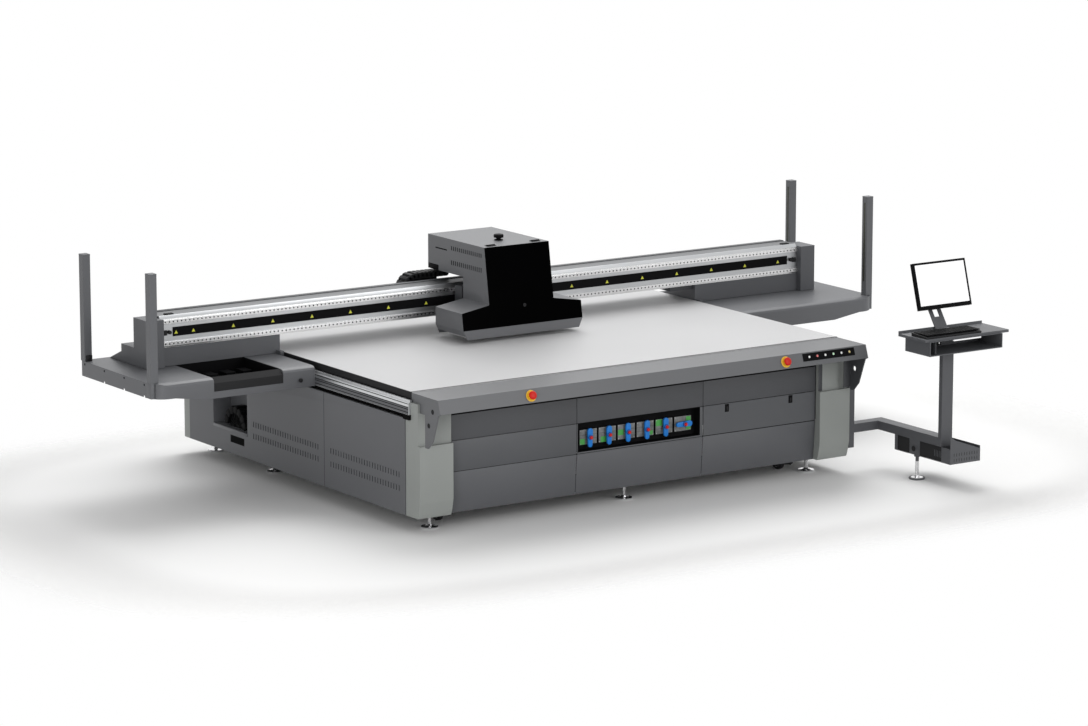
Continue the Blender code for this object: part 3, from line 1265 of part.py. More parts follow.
def pc_tray():
    """The computer's tray under the arm: open towards the mast, with a raised plate at its front."""
    right, left = TRAY_RIGHT, ARM_X
    top = ARM_BOTTOM - FIT
    lap = TRAY_FRONT + SHEET / 2
    tray = block("pc_tray", (left, lap, TRAY_FLOOR), (right, TRAY_BACK, top), SLATE)
    cut(tray, block("pc_room", (left - 0.01, lap - 0.01, TRAY_FLOOR + SHEET),
                    (right - SHEET, TRAY_BACK - SHEET, top + 0.01)))
    for number, (y0, y1) in enumerate(((TRAY_BACK - TRAY_STRIP, TRAY_BACK - SHEET / 2),
                                       (lap, ARM_FRONT - TRAY_PLAY))):
        join(tray, block(f"tray_side_{number}", (left, y0, TRAY_FLOOR + SHEET / 2),
                         (left + SHEET, y1, top)))
    plate = [(left, TRAY_FLOOR), (right, TRAY_FLOOR), (right, TRAY_LOW_Z),
             (left + ARM_WIDTH / 2, TRAY_HIGH_Z - 0.03), (left, TRAY_HIGH_Z)]
    join(tray, prism("tray_front_plate", plate, "y", TRAY_FRONT, TRAY_FRONT + SHEET))
    cut(tray, block("foot_notch", (left - 0.01, BLOCK_FRONT - TRAY_PLAY, TRAY_FLOOR - 0.01),
                    (left + BLOCK_WIDTH + TRAY_PLAY, BLOCK_BACK + TRAY_PLAY, top + 0.01)))


def desk():
    """The desk: a top with a lip along its back, over an open-fronted bin."""
    top = block("desk", (DESK_LEFT, DESK_FRONT, DESK_TOP - DESK_PLATE), (DESK_RIGHT, DESK_BACK, DESK_TOP),
                SLATE)
    lip = block("desk_lip", (DESK_LEFT, DESK_BACK - BIN_WALL, DESK_TOP - 0.001),
                (DESK_RIGHT, DESK_BACK, DESK_TOP + DESK_LIP))
    bin_top = DESK_TOP - DESK_PLATE
    box = block("desk_bin", (BIN_LEFT, BIN_FRONT, BIN_BOTTOM), (BIN_RIGHT, BIN_BACK, bin_top + 0.001))
    join(top, lip, box)
    cut(top, block("bin_room", (BIN_LEFT + BIN_WALL, BIN_FRONT - 0.1, BIN_BOTTOM + BIN_WALL),
                   (BIN_RIGHT - BIN_WALL, BIN_BACK - BIN_WALL, bin_top)))


def keyboard():
    """The keyboard: a low wedge lying on the desk."""
    width, depth, height = KEYBOARD
    y0, z0 = KEYBOARD_FRONT, DESK_TOP + FIT
    outline = [(y0, z0), (y0 + depth, z0), (y0 + depth, z0 + height), (y0 + 0.01, z0 + height * 0.6),
               (y0, z0 + height * 0.4)]
    prism("keyboard", outline, "x", KEYBOARD_LEFT, KEYBOARD_LEFT + width, BLACK)


def neck_line(offset):
    """The leaning neck's faces, offset from its middle plane, foot to top."""
    foot_point = Vector((NECK_FOOT_Y, DESK_TOP + FIT))
    top_point = Vector((NECK_TOP_Y, NECK_TOP_Z))
    along = (top_point - foot_point).normalized()
    across = Vector((along.y, -along.x)) * offset
    return foot_point + across, top_point + across


def monitor_neck():
    """The monitor's leaning neck on its foot plate, with a window and the tilt barrel on top."""
    middle = SCREEN_LEFT + SCREEN_WIDTH / 2 - NECK_ASIDE
    x0, x1 = middle - NECK_WIDTH / 2, middle + NECK_WIDTH / 2
    back_low, back_high = neck_line(NECK_THICK / 2)
    front_low, front_high = neck_line(-NECK_THICK / 2)
    foot_z = DESK_TOP + FIT
    neck = prism("monitor_neck", [tuple(back_low), tuple(back_high), tuple(front_high), tuple(front_low)],
                 "x", x0, x1, SLATE, origin=(0, 0, 0))
    plate = block("neck_foot", (x0, NECK_FOOT_Y - NECK_FOOT_DEPTH, foot_z),
                  (x1, DESK_BACK - BIN_WALL - FIT, foot_z + NECK_FOOT_H))
    barrel = rod("neck_barrel", TILT_R, (x0 + TILT_EAR, NECK_TOP_Y, NECK_TOP_Z),
                 (x1 - TILT_EAR, NECK_TOP_Y, NECK_TOP_Z), sides=20)
    trim = block("neck_level", (x0 - 0.01, NECK_FOOT_Y - 0.1, foot_z - 0.05), (x1 + 0.01, 0, foot_z))
    for number, (u0, u1) in enumerate(((x0 - 0.01, x0 + TILT_EAR), (x1 - TILT_EAR, x1 + 0.01))):
        cut(neck, block(f"ear_room_{number}", (u0, NECK_FOOT_Y, NECK_TOP_Z - NECK_NOTCH),
                        (u1, 0, NECK_TOP_Z + 0.1)))
    join(neck, plate, barrel)
    cut(neck, trim)
    hole_z = DESK_TOP + (NECK_TOP_Z - DESK_TOP) * 0.52
    cut(neck, block("neck_window", (middle - 0.022, -1, hole_z - 0.022), (middle + 0.022, 0, hole_z + 0.022)))


def monitor():
    """The screen, leaning back, with the two ears that ride on the neck's tilt barrel."""
    hinge = empty("tilt_axis", (SCREEN_LEFT + SCREEN_WIDTH / 2 - NECK_ASIDE, NECK_TOP_Y, NECK_TOP_Z), MACHINE)
    axis = origin_of(hinge)
    lean = Vector((math.sin(SCREEN_LEAN), math.cos(SCREEN_LEAN)))
    back = Vector((math.cos(SCREEN_LEAN), -math.sin(SCREEN_LEAN))) * SCREEN_THICK
    corner = Vector((SCREEN_FOOT_Y, SCREEN_FOOT_Z))
    outline = [corner, corner + back, corner + back + lean * SCREEN_HEIGHT, corner + lean * SCREEN_HEIGHT]
    screen = prism("monitor", [tuple(p) for p in outline], "x", SCREEN_LEFT, SCREEN_LEFT + SCREEN_WIDTH,
                   BLACK, origin=axis, parent=hinge)
    inside = NECK_WIDTH / 2 - TILT_EAR + TILT_PLAY
    near = corner + back * 0.9 + lean * SCREEN_HEIGHT * 0.10
    far = corner + back * 0.9 + lean * SCREEN_HEIGHT * 0.34
    for sign in (-1, 1):
        x0, x1 = sorted((axis.x + sign * inside, axis.x + sign * NECK_WIDTH / 2))
        arm = [tuple(near), (axis.y, axis.z - TILT_R), (axis.y + TILT_R, axis.z),
               (axis.y, axis.z + TILT_R), tuple(far)]
        join(screen, prism(f"tilt_ear_{sign + 1}", arm, "x", x0, x1, parent=hinge))


# ---------------------------------------------------------------- build

base_frame()
for hand in ("left", "right"):
    corner_column(hand)
    front_caster(hand)
    wheel("caster_wheel_rear_" + hand, CASTER_X if hand == "left" else mirror_x(CASTER_X),
          CASTER_BACK_Y, MACHINE)
    side_rail(hand)
    wing(hand)
front_panels()
access_door()
side_panels()
side_chain()
rear_panel()
vacuum_bed()
valve_panel()
for count, valve_x in enumerate(valve_xs(), start=1):
    valve_handle(count, valve_x, turned=count == VALVE_COUNT)
vacuum_manifold()
console()
button_plate()
for count, lamp_colour in enumerate((WHITE, RED, WHITE, GREEN, WHITE, AMBER), start=1):
    push_button(count, lamp_colour)
for hand, stop_x in zip(("left", "right"), ESTOP_X):
    emergency_stop(hand, stop_x)
capping_tray()
posts()
gantry()
stand_frame()
pc_tray()
desk()
keyboard()
monitor_neck()
monitor()
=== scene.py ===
# %% [markdown]
# # A flatbed UV printer
#
# This lesson dresses a finished mechanical model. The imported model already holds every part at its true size,
# so each cell below only adds finishes, rounded edges and small fittings. Positions are read from the
# model's own boxes, so nothing has to be lined up by eye.

# %% Load the frame
import json
import math

import bmesh
import bpy
from mathutils import Matrix, Vector


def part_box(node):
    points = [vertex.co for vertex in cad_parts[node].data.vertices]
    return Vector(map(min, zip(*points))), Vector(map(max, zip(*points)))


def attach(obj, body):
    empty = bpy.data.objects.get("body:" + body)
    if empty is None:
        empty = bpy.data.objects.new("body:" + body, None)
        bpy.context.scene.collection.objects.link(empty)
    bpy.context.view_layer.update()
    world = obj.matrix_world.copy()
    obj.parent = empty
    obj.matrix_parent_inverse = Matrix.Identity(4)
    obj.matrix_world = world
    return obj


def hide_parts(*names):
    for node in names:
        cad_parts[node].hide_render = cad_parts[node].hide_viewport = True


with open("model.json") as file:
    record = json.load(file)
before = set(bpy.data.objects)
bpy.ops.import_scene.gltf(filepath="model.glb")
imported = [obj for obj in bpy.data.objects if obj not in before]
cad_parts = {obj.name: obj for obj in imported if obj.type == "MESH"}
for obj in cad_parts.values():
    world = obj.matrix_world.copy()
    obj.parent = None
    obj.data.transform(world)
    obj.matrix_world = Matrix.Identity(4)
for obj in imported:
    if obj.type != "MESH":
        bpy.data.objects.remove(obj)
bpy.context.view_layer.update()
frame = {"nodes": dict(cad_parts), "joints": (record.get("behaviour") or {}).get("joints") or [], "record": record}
record = frame["record"]
home = {node: body for body, members in record["behaviour"]["bodies"].items() for node in members}

# %% [markdown]
# ## A ruler for the machine
#
# The cabinet is easiest to describe from its own corner: x from the outer face of the left side cover, y from
# the front of the corner columns, z from the floor. The function below turns such a place into the
# model's frame. It is anchored on two parts, so it follows them if the model moves.

# %% Measure from the cabinet's corner
corner_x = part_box("side_panel_left")[0].x
corner_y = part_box("corner_column_left")[0].y
cabinet_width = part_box("side_panel_right")[1].x - corner_x


def at(x, y, z):
    """A place given from the cabinet's front left corner, in the frame."""
    return Vector((corner_x + x, corner_y + y, z))


def from_left(x):
    """A distance from the cabinet's left side, as an x in the frame."""
    return at(x, 0, 0).x


def from_front(y):
    """A distance from the cabinet's front, as a y in the frame."""
    return at(0, y, 0).y


def mirrored(x):
    """The same distance from the cabinet's right side."""
    return cabinet_width - x


print("cabinet", round(cabinet_width, 3), "m wide")

# %% [markdown]
# ## The camera
#
# A long lens far away flattens the perspective, which keeps the gantry's long lines almost parallel, as a
# catalogue shows a machine. An orthographic camera would make them fully parallel, which looks like a drawing.
# The camera stands to the front left, a little above the top of the machine.

# %% Set the camera
LENS_MM = 141.7
SENSOR_MM = 36.0
CAMERA_TILT = math.radians(78.893)
CAMERA_TURN = math.radians(-33.626)
eye = at(-13.853, -22.240, 6.263)

camera_data = bpy.data.cameras.new("studio_camera")
camera_data.lens = LENS_MM
camera_data.sensor_width = SENSOR_MM
camera_data.clip_end = 120.0
camera = bpy.data.objects.new("studio_camera", camera_data)
bpy.context.scene.collection.objects.link(camera)
camera.location = eye
camera.rotation_euler = (CAMERA_TILT, 0, CAMERA_TURN)
bpy.context.scene.camera = camera
bpy.context.scene.view_settings.view_transform = "Standard"
print("camera", [round(v, 2) for v in camera.location])

# %% [markdown]
# ## Light
#
# A product view needs one broad light from above, a weaker one from the front, and a small one that opens
# up the near corner. Point or spot lights would throw hard shadows. Square area lights give the soft edges
# of a studio's softboxes.

# %% Light the studio


def area_light(name, place, target, size, watts):
    """A square soft light at a place, turned to a target."""
    lamp = bpy.data.lights.new(name, "AREA")
    lamp.size = size
    lamp.energy = watts
    holder = bpy.data.objects.new(name, lamp)
    bpy.context.scene.collection.objects.link(holder)
    holder.location = place
    holder.rotation_euler = (Vector(target) - Vector(place)).to_track_quat("-Z", "Y").to_euler()
    print(name, watts, "W")


middle = at(cabinet_width / 2, 1.5, 0.9)
area_light("overhead", middle + Vector((2.5, 3.0, 6.5)), middle, 7.0, 540)
area_light("front_fill", middle + Vector((3.0, -11.0, 3.5)), middle, 6.0, 330)
area_light("corner_fill", at(-3.4, -2.8, 1.2), at(0.0, 0.8, 0.4), 2.0, 62)

# %% [markdown]
# ## Shader arithmetic
#
# A finish is mostly small sums on numbers: a little noise added to a roughness, a mask times a depth. Each
# sum could be a Math node placed and linked by hand, which takes four lines. Here one class wraps a socket, so
# that a sum is written as plain Python and Blender gets the Math nodes.

# %% A class for shader values


class Wire:
    """A socket that takes part in arithmetic."""

    def __init__(self, tree, socket):
        self.tree = tree
        self.socket = socket

    def math(self, operation, *values):
        """A Math node on these values."""
        node = self.tree.nodes.new("ShaderNodeMath")
        node.operation = operation
        for socket, value in zip(node.inputs, values):
            connect(self.tree, socket, value)
        return Wire(self.tree, node.outputs[0])

    def __add__(self, other):
        return self.math("ADD", self, other)

    __radd__ = __add__

    def __mul__(self, other):
        return self.math("MULTIPLY", self, other)

    __rmul__ = __mul__

    def __sub__(self, other):
        return self.math("SUBTRACT", self, other)

    def __rsub__(self, other):
        return self.math("SUBTRACT", other, self)

    def __lt__(self, other):
        return self.math("LESS_THAN", self, other)

    def beside(self, output):
        """Another output of the same node."""
        return Wire(self.tree, self.socket.node.outputs[output])


def connect(tree, socket, value):
    """Link a wire to a socket, or set a plain value on it."""
    if isinstance(value, Wire):
        tree.links.new(value.socket, socket)
    elif isinstance(value, (tuple, list)) and len(value) == 3 and socket.type == "RGBA":
        socket.default_value = (*value, 1.0)
    else:
        socket.default_value = value


print("arithmetic on sockets ready")

# %% [markdown]
# ## Nodes and finishes
#
# Noise, ramps and mixes aren't sums, so they need nodes of their own. They all come from one method, which
# takes a node's type, its settings and its sockets. A finish is a material with helpers for the few patterns
# that paint, metal and plastic share.

# %% A class for node trees


class Nodes:
    """A node tree whose nodes all come from one method."""

    def __init__(self, tree):
        self.tree = tree

    def node(self, kind, settings, sockets, output=0):
        """Make a node, set it, fill its sockets, and give back one of its outputs."""
        made = self.tree.nodes.new(kind)
        for setting, value in settings.items():
            setattr(made, setting, value)
        for socket, value in sockets.items():
            connect(self.tree, made.inputs[socket], value)
        return Wire(self.tree, made.outputs[output])


print("node method ready")

# %% A class for finishes


class Finish(Nodes):
    """A material whose nodes are written as expressions."""

    def __init__(self, name, colour, roughness, metallic=0.0, **shader):
        self.material = bpy.data.materials.new(name)
        self.material.use_nodes = True
        super().__init__(self.material.node_tree)
        self.shader = self.tree.nodes["Principled BSDF"]
        self.set("Base Color", colour)
        self.set("Roughness", roughness)
        self.set("Metallic", metallic)
        for socket, value in shader.items():
            self.set(socket.replace("_", " "), value)

    def set(self, socket, value):
        """Feed one socket of the shader."""
        connect(self.tree, self.shader.inputs[socket], value)

    def place(self):
        """The surface's own coordinates in metres."""
        return self.node("ShaderNodeTexCoord", {}, {}, "Object")

    def plan(self):
        """The surface's own x and y."""
        x = self.node("ShaderNodeSeparateXYZ", {}, {0: self.place()})
        return x, x.beside(1)

    def noise(self, scale, detail=3.0, stretch=(1, 1, 1)):
        """A cloudy value between 0 and 1, with so many waves in a metre."""
        place = self.node("ShaderNodeMapping", {}, {"Vector": self.place(), "Scale": stretch})
        return self.node("ShaderNodeTexNoise", {}, {"Vector": place, "Scale": scale, "Detail": detail})

    def blend(self, factor, first, second):
        """A colour between two colours."""
        return self.node("ShaderNodeMix", {"data_type": "RGBA"}, {0: factor, 6: first, 7: second}, 2)

    def bump(self, height, strength, distance):
        """Let a height tilt the surface."""
        self.set("Normal", self.node("ShaderNodeBump", {}, {"Height": height, "Strength": strength,
                                                            "Distance": distance}))


def shade(colour, factor):
    """A colour made darker or lighter."""
    return tuple(min(1.0, channel * factor) for channel in colour)


print("finishes ready")

# %% [markdown]
# ## The surround
#
# A studio's walls look pure white to the camera and in reflections, but light the object more softly, so that
# dark paint stays dark. One background can't do both, so a mix chooses between two by the kind of ray.

# %% Surround
SURROUND_LIGHT = 0.49
SURROUND_SEEN = 1.0

world = bpy.data.worlds.new("studio")
bpy.context.scene.world = world
world.use_nodes = True
sky = Nodes(world.node_tree)
sky.tree.nodes.remove(sky.tree.nodes["Background"])
soft, white = (sky.node("ShaderNodeBackground", {}, {"Color": (1.0, 1.0, 1.0), "Strength": strength})
               for strength in (SURROUND_LIGHT, SURROUND_SEEN))
camera_ray = sky.node("ShaderNodeLightPath", {}, {}, "Is Camera Ray")
either = camera_ray.math("MAXIMUM", camera_ray, camera_ray.beside("Is Glossy Ray"))
chosen = sky.node("ShaderNodeMixShader", {}, {0: either, 1: soft, 2: white})
connect(sky.tree, sky.tree.nodes["World Output"].inputs["Surface"], chosen)
print("surround", SURROUND_LIGHT)

# %% [markdown]
# ## Paint
#
# The covers are powder coated. Up close such a coat has a fine orange peel, and over a metre it is never
# quite even. Two noises do both: a very fine one for the bump, and a wide soft one for colour and gloss.

# %% Powder coats


def powder_coat(name, colour, roughness=0.46):
    """Paint with orange peel, a little uneven over a metre."""
    coat = Finish(name, colour, roughness, Specular_IOR_Level=0.45)
    peel = coat.noise(900.0, 2.0)
    drift = coat.noise(1.7, 4.0)
    coat.set("Base Color", coat.blend(drift, shade(colour, 0.90), shade(colour, 1.10)))
    coat.set("Roughness", roughness - 0.06 + 0.12 * drift)
    coat.bump(peel, 0.16, 0.0006)
    return coat.material


SLATE = powder_coat("slate_coat", (0.092, 0.095, 0.103))
SLATE_DARK = powder_coat("slate_coat_dark", (0.100, 0.103, 0.111))
SAGE = powder_coat("sage_coat", (0.262, 0.276, 0.264), 0.42)
# Darker copies of the slate coat for the middle and upper front rows: painted shade under the console.
SLATE_PAINTED_SHADE_UPPER = powder_coat("slate_coat_upper_painted_shade", (0.064, 0.066, 0.072))
SLATE_PAINTED_SHADE_MIDDLE = powder_coat("slate_coat_middle_painted_shade", (0.078, 0.081, 0.088))
CONSOLE_COAT = powder_coat("console_coat", (0.107, 0.110, 0.117), 0.40)
FRAME_COAT = powder_coat("frame_coat", (0.048, 0.050, 0.055), 0.55)
WING_COAT = powder_coat("wing_coat", (0.110, 0.113, 0.121))
HOUSING_COAT = powder_coat("housing_coat", (0.124, 0.127, 0.135), 0.42)
STAND_COAT = powder_coat("stand_coat", (0.078, 0.080, 0.087), 0.50)
print("powder coats", len(bpy.data.materials))

# %% [markdown]
# ## Bare metal
#
# The beam is an anodised extrusion: the die leaves faint lines along its length. The guide rails are ground
# steel. Both get a noise that is stretched hard along X, which reads as drawn lines. The bed is a
# hard-anodised skin with a grid of fine suction holes, and the holes are a mask worked out from the
# surface's own coordinates.

# %% Metals


def drawn_metal(name, colour, roughness, along, depth=0.10):
    """Metal with fine lines along one axis (0, 1 or 2)."""
    metal = Finish(name, colour, roughness, 1.0)
    stretch = [260.0, 260.0, 260.0]
    stretch[along] = 1.5
    lines = metal.noise(1.0, 3.0, tuple(stretch))
    drift = metal.noise(1.3, 3.0)
    metal.set("Base Color", metal.blend(drift, shade(colour, 0.88), shade(colour, 1.08)))
    metal.set("Roughness", roughness - 0.08 + 0.16 * lines)
    metal.bump(lines, depth, 0.0005)
    return metal.material


def suction_bed(name, colour):
    """Satin skin with a square grid of pin holes."""
    pitch, hole_r = 0.025, 0.0011
    skin = Finish(name, colour, 0.42, Specular_IOR_Level=0.5)
    across = [axis * (1 / pitch) for axis in skin.plan()]
    cells = [axis.math("FRACT", axis) - 0.5 for axis in across]
    reach = cells[0] * cells[0] + cells[1] * cells[1]
    hole = reach < (hole_r / pitch) ** 2
    drift = skin.noise(0.9, 3.0)
    sheet = skin.blend(drift, shade(colour, 0.94), shade(colour, 1.05))
    skin.set("Base Color", skin.blend(hole, sheet, (0.05, 0.05, 0.05)))
    skin.set("Roughness", 0.38 + 0.12 * drift)
    skin.bump(1 - hole, 0.5, 0.001)
    return skin.material


ALUMINIUM = drawn_metal("anodised_aluminium", (0.48, 0.49, 0.50), 0.36, 0)
# A much darker copy of the beam's aluminium for its top faces: painted shade.
BEAM_TOP_PAINTED_SHADE = drawn_metal("beam_top_painted_shade", (0.140, 0.143, 0.148), 0.44, 0)
ALUMINIUM_Y = drawn_metal("side_beam_aluminium", (0.66, 0.67, 0.68), 0.36, 1)
RAIL_STEEL = drawn_metal("ground_rail", (0.72, 0.72, 0.72), 0.26, 0)
STEEL = drawn_metal("brushed_steel", (0.52, 0.52, 0.53), 0.34, 2)
CHROME = Finish("foot_chrome", (0.78, 0.78, 0.79), 0.14, 1.0)
CHROME.set("Roughness", 0.10 + 0.12 * CHROME.noise(60.0))
CHROME = CHROME.material
BED_SKIN = suction_bed("bed_skin", (0.53, 0.53, 0.535))
print("metals", len(bpy.data.materials))

# %% [markdown]
# ## Plastics, rubber and lamps
#
# Moulded plastic has a fine spark-eroded grain, so its bump is finer and deeper than paint's. Lenses and the
# polished cover are smooth, with a clear coat that carries the reflection.

# %% Plastics


def moulded(name, colour, roughness, grain=1500.0, depth=0.12, **shader):
    """Plastic or rubber with a grain."""
    part = Finish(name, colour, roughness, **shader)
    texture = part.noise(grain, 2.0)
    drift = part.noise(7.0, 2.0)
    part.set("Base Color", part.blend(drift, shade(colour, 0.88), shade(colour, 1.12)))
    part.set("Roughness", roughness - 0.04 + 0.08 * drift)
    part.bump(texture, depth, 0.0004)
    return part.material


BLACK = moulded("black_moulding", (0.010, 0.010, 0.011), 0.50, Specular_IOR_Level=0.22)
DEEP_BLACK = moulded("deep_black", (0.004, 0.004, 0.0045), 0.55, Specular_IOR_Level=0.05)
CHAIN_BLACK = moulded("chain_nylon", (0.008, 0.008, 0.009), 0.52, Specular_IOR_Level=0.22)
RUBBER = moulded("black_rubber", (0.016, 0.016, 0.017), 0.78, 500.0, 0.3, Specular_IOR_Level=0.25)
GLOSS = moulded("piano_black", (0.0006, 0.0006, 0.0007), 0.16, 40.0, 0.004, Specular_IOR_Level=0.006)
BLUE = moulded("handle_blue", (0.010, 0.190, 0.62), 0.36, 700.0, 0.08, Specular_IOR_Level=0.3)
BLUE_DEEP = moulded("handle_blue_deep", (0.006, 0.090, 0.36), 0.40, 700.0, 0.08, Specular_IOR_Level=0.3)
RED = moulded("stop_red", (0.58, 0.012, 0.006), 0.38, 700.0, 0.05, Specular_IOR_Level=0.25)
YELLOW = moulded("collar_yellow", (0.84, 0.50, 0.03), 0.40, 700.0, 0.06, Specular_IOR_Level=0.3)
SIGN = moulded("sign_yellow", (0.66, 0.67, 0.05), 0.45, 700.0, 0.04)
# The screen's faint glow also paints light on the wings' lower row of dots and on the bar under the desk.
SCREEN_AND_PAINTED_GLOW = moulded("blank_screen_and_painted_glow", (0.86, 0.86, 0.87), 0.30, 900.0, 0.02, Emission_Color=(1.0, 1.0, 1.0, 1.0),
                 Emission_Strength=0.35)
POWER_LAMP = moulded("power_lamp", (0.90, 0.91, 0.90), 0.30, 300.0, 0.02)
OLIVE = moulded("curtain_window", (0.035, 0.036, 0.020), 0.30, 300.0, 0.02, Specular_IOR_Level=0.3)
LENS_COLOURS = {"white": (0.84, 0.86, 0.84), "red": (0.74, 0.16, 0.15), "green": (0.55, 0.82, 0.56),
                "amber": (0.76, 0.62, 0.28)}
LENS = {name: moulded("lens_" + name, colour, 0.22, 300.0, 0.02, Coat_Weight=0.7)
        for name, colour in LENS_COLOURS.items()}
SHADOW = moulded("dark_slot", (0.003, 0.003, 0.003), 0.85, Specular_IOR_Level=0.05)
print("finishes", len(bpy.data.materials))

# %% [markdown]
# ## Rounded edges
#
# A folded sheet or a casting never has a knife edge: a radius of a millimetre or two catches the light, and
# the eye reads it as a made thing. So most parts are shown by a copy of their solid whose flat faces are
# merged and whose corners are rounded. The solid itself stays in the model.

# %% Show a node with rounded edges


def ride(piece, body):
    """Fasten a piece to a body."""
    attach(piece, body)
    return piece


def merged_copy(node):
    """A node's solid with its split corners welded and its flat faces made whole."""
    shape = bmesh.new()
    shape.from_mesh(frame["nodes"][node].data)
    bmesh.ops.remove_doubles(shape, verts=shape.verts, dist=0.00002)
    bmesh.ops.dissolve_limit(shape, angle_limit=math.radians(0.6), verts=shape.verts, edges=shape.edges)
    return shape


def finish_piece(name, shape, material, body, smooth=35):
    """Turn a bmesh into a shown piece that rides on a body."""
    mesh = bpy.data.meshes.new(name)
    shape.to_mesh(mesh)
    shape.free()
    mesh.materials.append(material)
    mesh.shade_smooth()
    mesh.set_sharp_from_angle(angle=math.radians(smooth))
    piece = bpy.data.objects.new(name, mesh)
    bpy.context.scene.collection.objects.link(piece)
    print(name, len(mesh.polygons), "faces")
    return ride(piece, body)


def soften(piece, width, segments=2, angle=28):
    """Round a piece's edges."""
    edge = piece.modifiers.new("rounded", "BEVEL")
    edge.width = width
    edge.segments = segments
    edge.limit_method = "ANGLE"
    edge.angle_limit = math.radians(angle)
    edge.harden_normals = True
    return piece


def dress(node, material, width=0.002, segments=2):
    """Show a node by a copy with rounded edges."""
    piece = finish_piece(node + "_skin", merged_copy(node), material, home[node])
    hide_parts(node)
    return soften(piece, width, segments)


def tint(piece, material, chosen):
    """Give the faces that a test picks another finish."""
    piece.data.materials.append(material)
    for face in piece.data.polygons:
        if chosen(face):
            face.material_index = len(piece.data.materials) - 1


def recolour(node, material):
    """Give a node that stays as it is its finish."""
    for slot in frame["nodes"][node].material_slots:
        slot.material = material


print("edge rounding ready")

# %% [markdown]
# ## Small shapes
#
# Fittings are built straight into one mesh per kind, such as all the screws of a cover, because one object
# with forty screws is easier to handle than forty objects. Each helper adds one closed shape to the mesh.

# %% Boxes and prisms


def round_edges(shape, edges, width):
    """Round the edges of what was just added."""
    bmesh.ops.bevel(shape, geom=list(edges), offset=width, segments=2, affect="EDGES", profile=0.5,
                    clamp_overlap=True)


def add_box(shape, low, high, edge=0.0):
    """A box between two corners, with rounded edges."""
    made = bmesh.ops.create_cube(shape, size=1.0)["verts"]
    for corner in made:
        corner.co = Vector([high[i] if corner.co[i] > 0 else low[i] for i in range(3)])
    if edge:
        round_edges(shape, {e for v in made for e in v.link_edges}, edge)


def add_prism(shape, outline, axis, start, end, edge=0.0):
    """An outline in the two other axes, carried along an axis, with rounded edges."""
    number = "xyz".index(axis)

    def place(u, v, w):
        """A point of the outline, w along the axis."""
        flat = [u, v]
        flat.insert(number, w)
        return Vector(flat)

    first = [shape.verts.new(place(u, v, start)) for u, v in outline]
    last = [shape.verts.new(place(u, v, end)) for u, v in outline]
    faces = [shape.faces.new(first), shape.faces.new(last)]
    for i in range(len(outline)):
        j = (i + 1) % len(outline)
        faces.append(shape.faces.new((first[i], first[j], last[j], last[i])))
    bmesh.ops.recalc_face_normals(shape, faces=faces)
    if edge:
        round_edges(shape, {e for f in faces for e in f.edges}, edge)


print("boxes and prisms ready")

# %% Turned shapes


def add_circle(shape, radius, height, foot, axis, sides):
    """A circle of corners around an axis."""
    turn = Vector(axis).to_track_quat("Z", "Y").to_matrix()
    corners = []
    for step in range(sides):
        angle = 2 * math.pi * step / sides
        spot = Vector((radius * math.cos(angle), radius * math.sin(angle), height))
        corners.append(shape.verts.new(Vector(foot) + turn @ spot))
    return corners


def add_lathe(shape, profile, foot, axis, sides=28):
    """A turned shape: (radius, height) pairs from foot up along an axis. It starts and ends on the axis."""
    rings = [add_circle(shape, radius, height, foot, axis, sides if radius else 1) for radius, height in profile]
    for lower, upper in zip(rings, rings[1:]):
        for step in range(sides):
            after = (step + 1) % sides
            if len(lower) == 1:
                shape.faces.new((lower[0], upper[after], upper[step]))
            elif len(upper) == 1:
                shape.faces.new((lower[step], lower[after], upper[0]))
            else:
                shape.faces.new((lower[step], lower[after], upper[after], upper[step]))


def add_rod(shape, start, end, radius, sides=20, edge=0.0):
    """A round bar from start to end, its rims rounded off."""
    along = Vector(end) - Vector(start)
    rim = [(radius, 0), (radius, along.length)]
    if edge:
        rim = [(radius - edge, 0), (radius, edge), (radius, along.length - edge), (radius - edge, along.length)]
    add_lathe(shape, [(0, 0), *rim, (0, along.length)], start, along, sides)


def arc(middle, radius, start, end, steps):
    """Points along an arc, in degrees."""
    angles = [math.radians(start + (end - start) * step / steps) for step in range(steps + 1)]
    return [(middle[0] + radius * math.cos(angle), middle[1] + radius * math.sin(angle)) for angle in angles]


print("turned shapes ready")

# %% Fittings of one shape


def box_piece(name, low, high, edge, material, body):
    """A fitting that is one box."""
    shape = bmesh.new()
    add_box(shape, low, high, edge)
    return finish_piece(name, shape, material, body)


def turned_piece(name, profile, foot, axis, sides, material, body):
    """A fitting that is one turned shape."""
    shape = bmesh.new()
    add_lathe(shape, profile, foot, axis, sides)
    return finish_piece(name, shape, material, body)


def add_mark(shape, face, out, ys, zs, sunk=0.0004, proud=0.0003, edge=0.0):
    """A thin plate on a face that looks along x: out is -1 where it looks left, 1 where it looks right."""
    near, far = sorted((face - out * sunk, face + out * proud))
    add_box(shape, (near, ys[0], zs[0]), (far, ys[1], zs[1]), edge)


print("fittings ready")

# %% [markdown]
# ## Front panels
#
# The front is three columns of folded panels, each in three rows, with a shadow gap of three millimetres
# between them. The lowest row leans back to make room for feet. Each panel follows one profile, so the
# rows line up across the columns. The middle and upper rows take darker copies of the slate coat, which is
# painted shade from the console above. A dark strip behind each gap keeps light from showing through it.

# %% Panels with shadow gaps
PANEL_T = 0.003
GAP = 0.0015
ROWS = ((0.113, 0.381), (0.381, 0.582), (0.582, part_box("front_panel_center")[1].z))
BREAK_Z = ROWS[0][1]
window_low = (1.232, 0.390)
window_high = (2.198, 0.580)


def panel_y(z):
    """How far back the front panels' face lies at a height."""
    return 0.050 + 0.020 * max(0.0, BREAK_Z - z) / (BREAK_Z - ROWS[0][0])


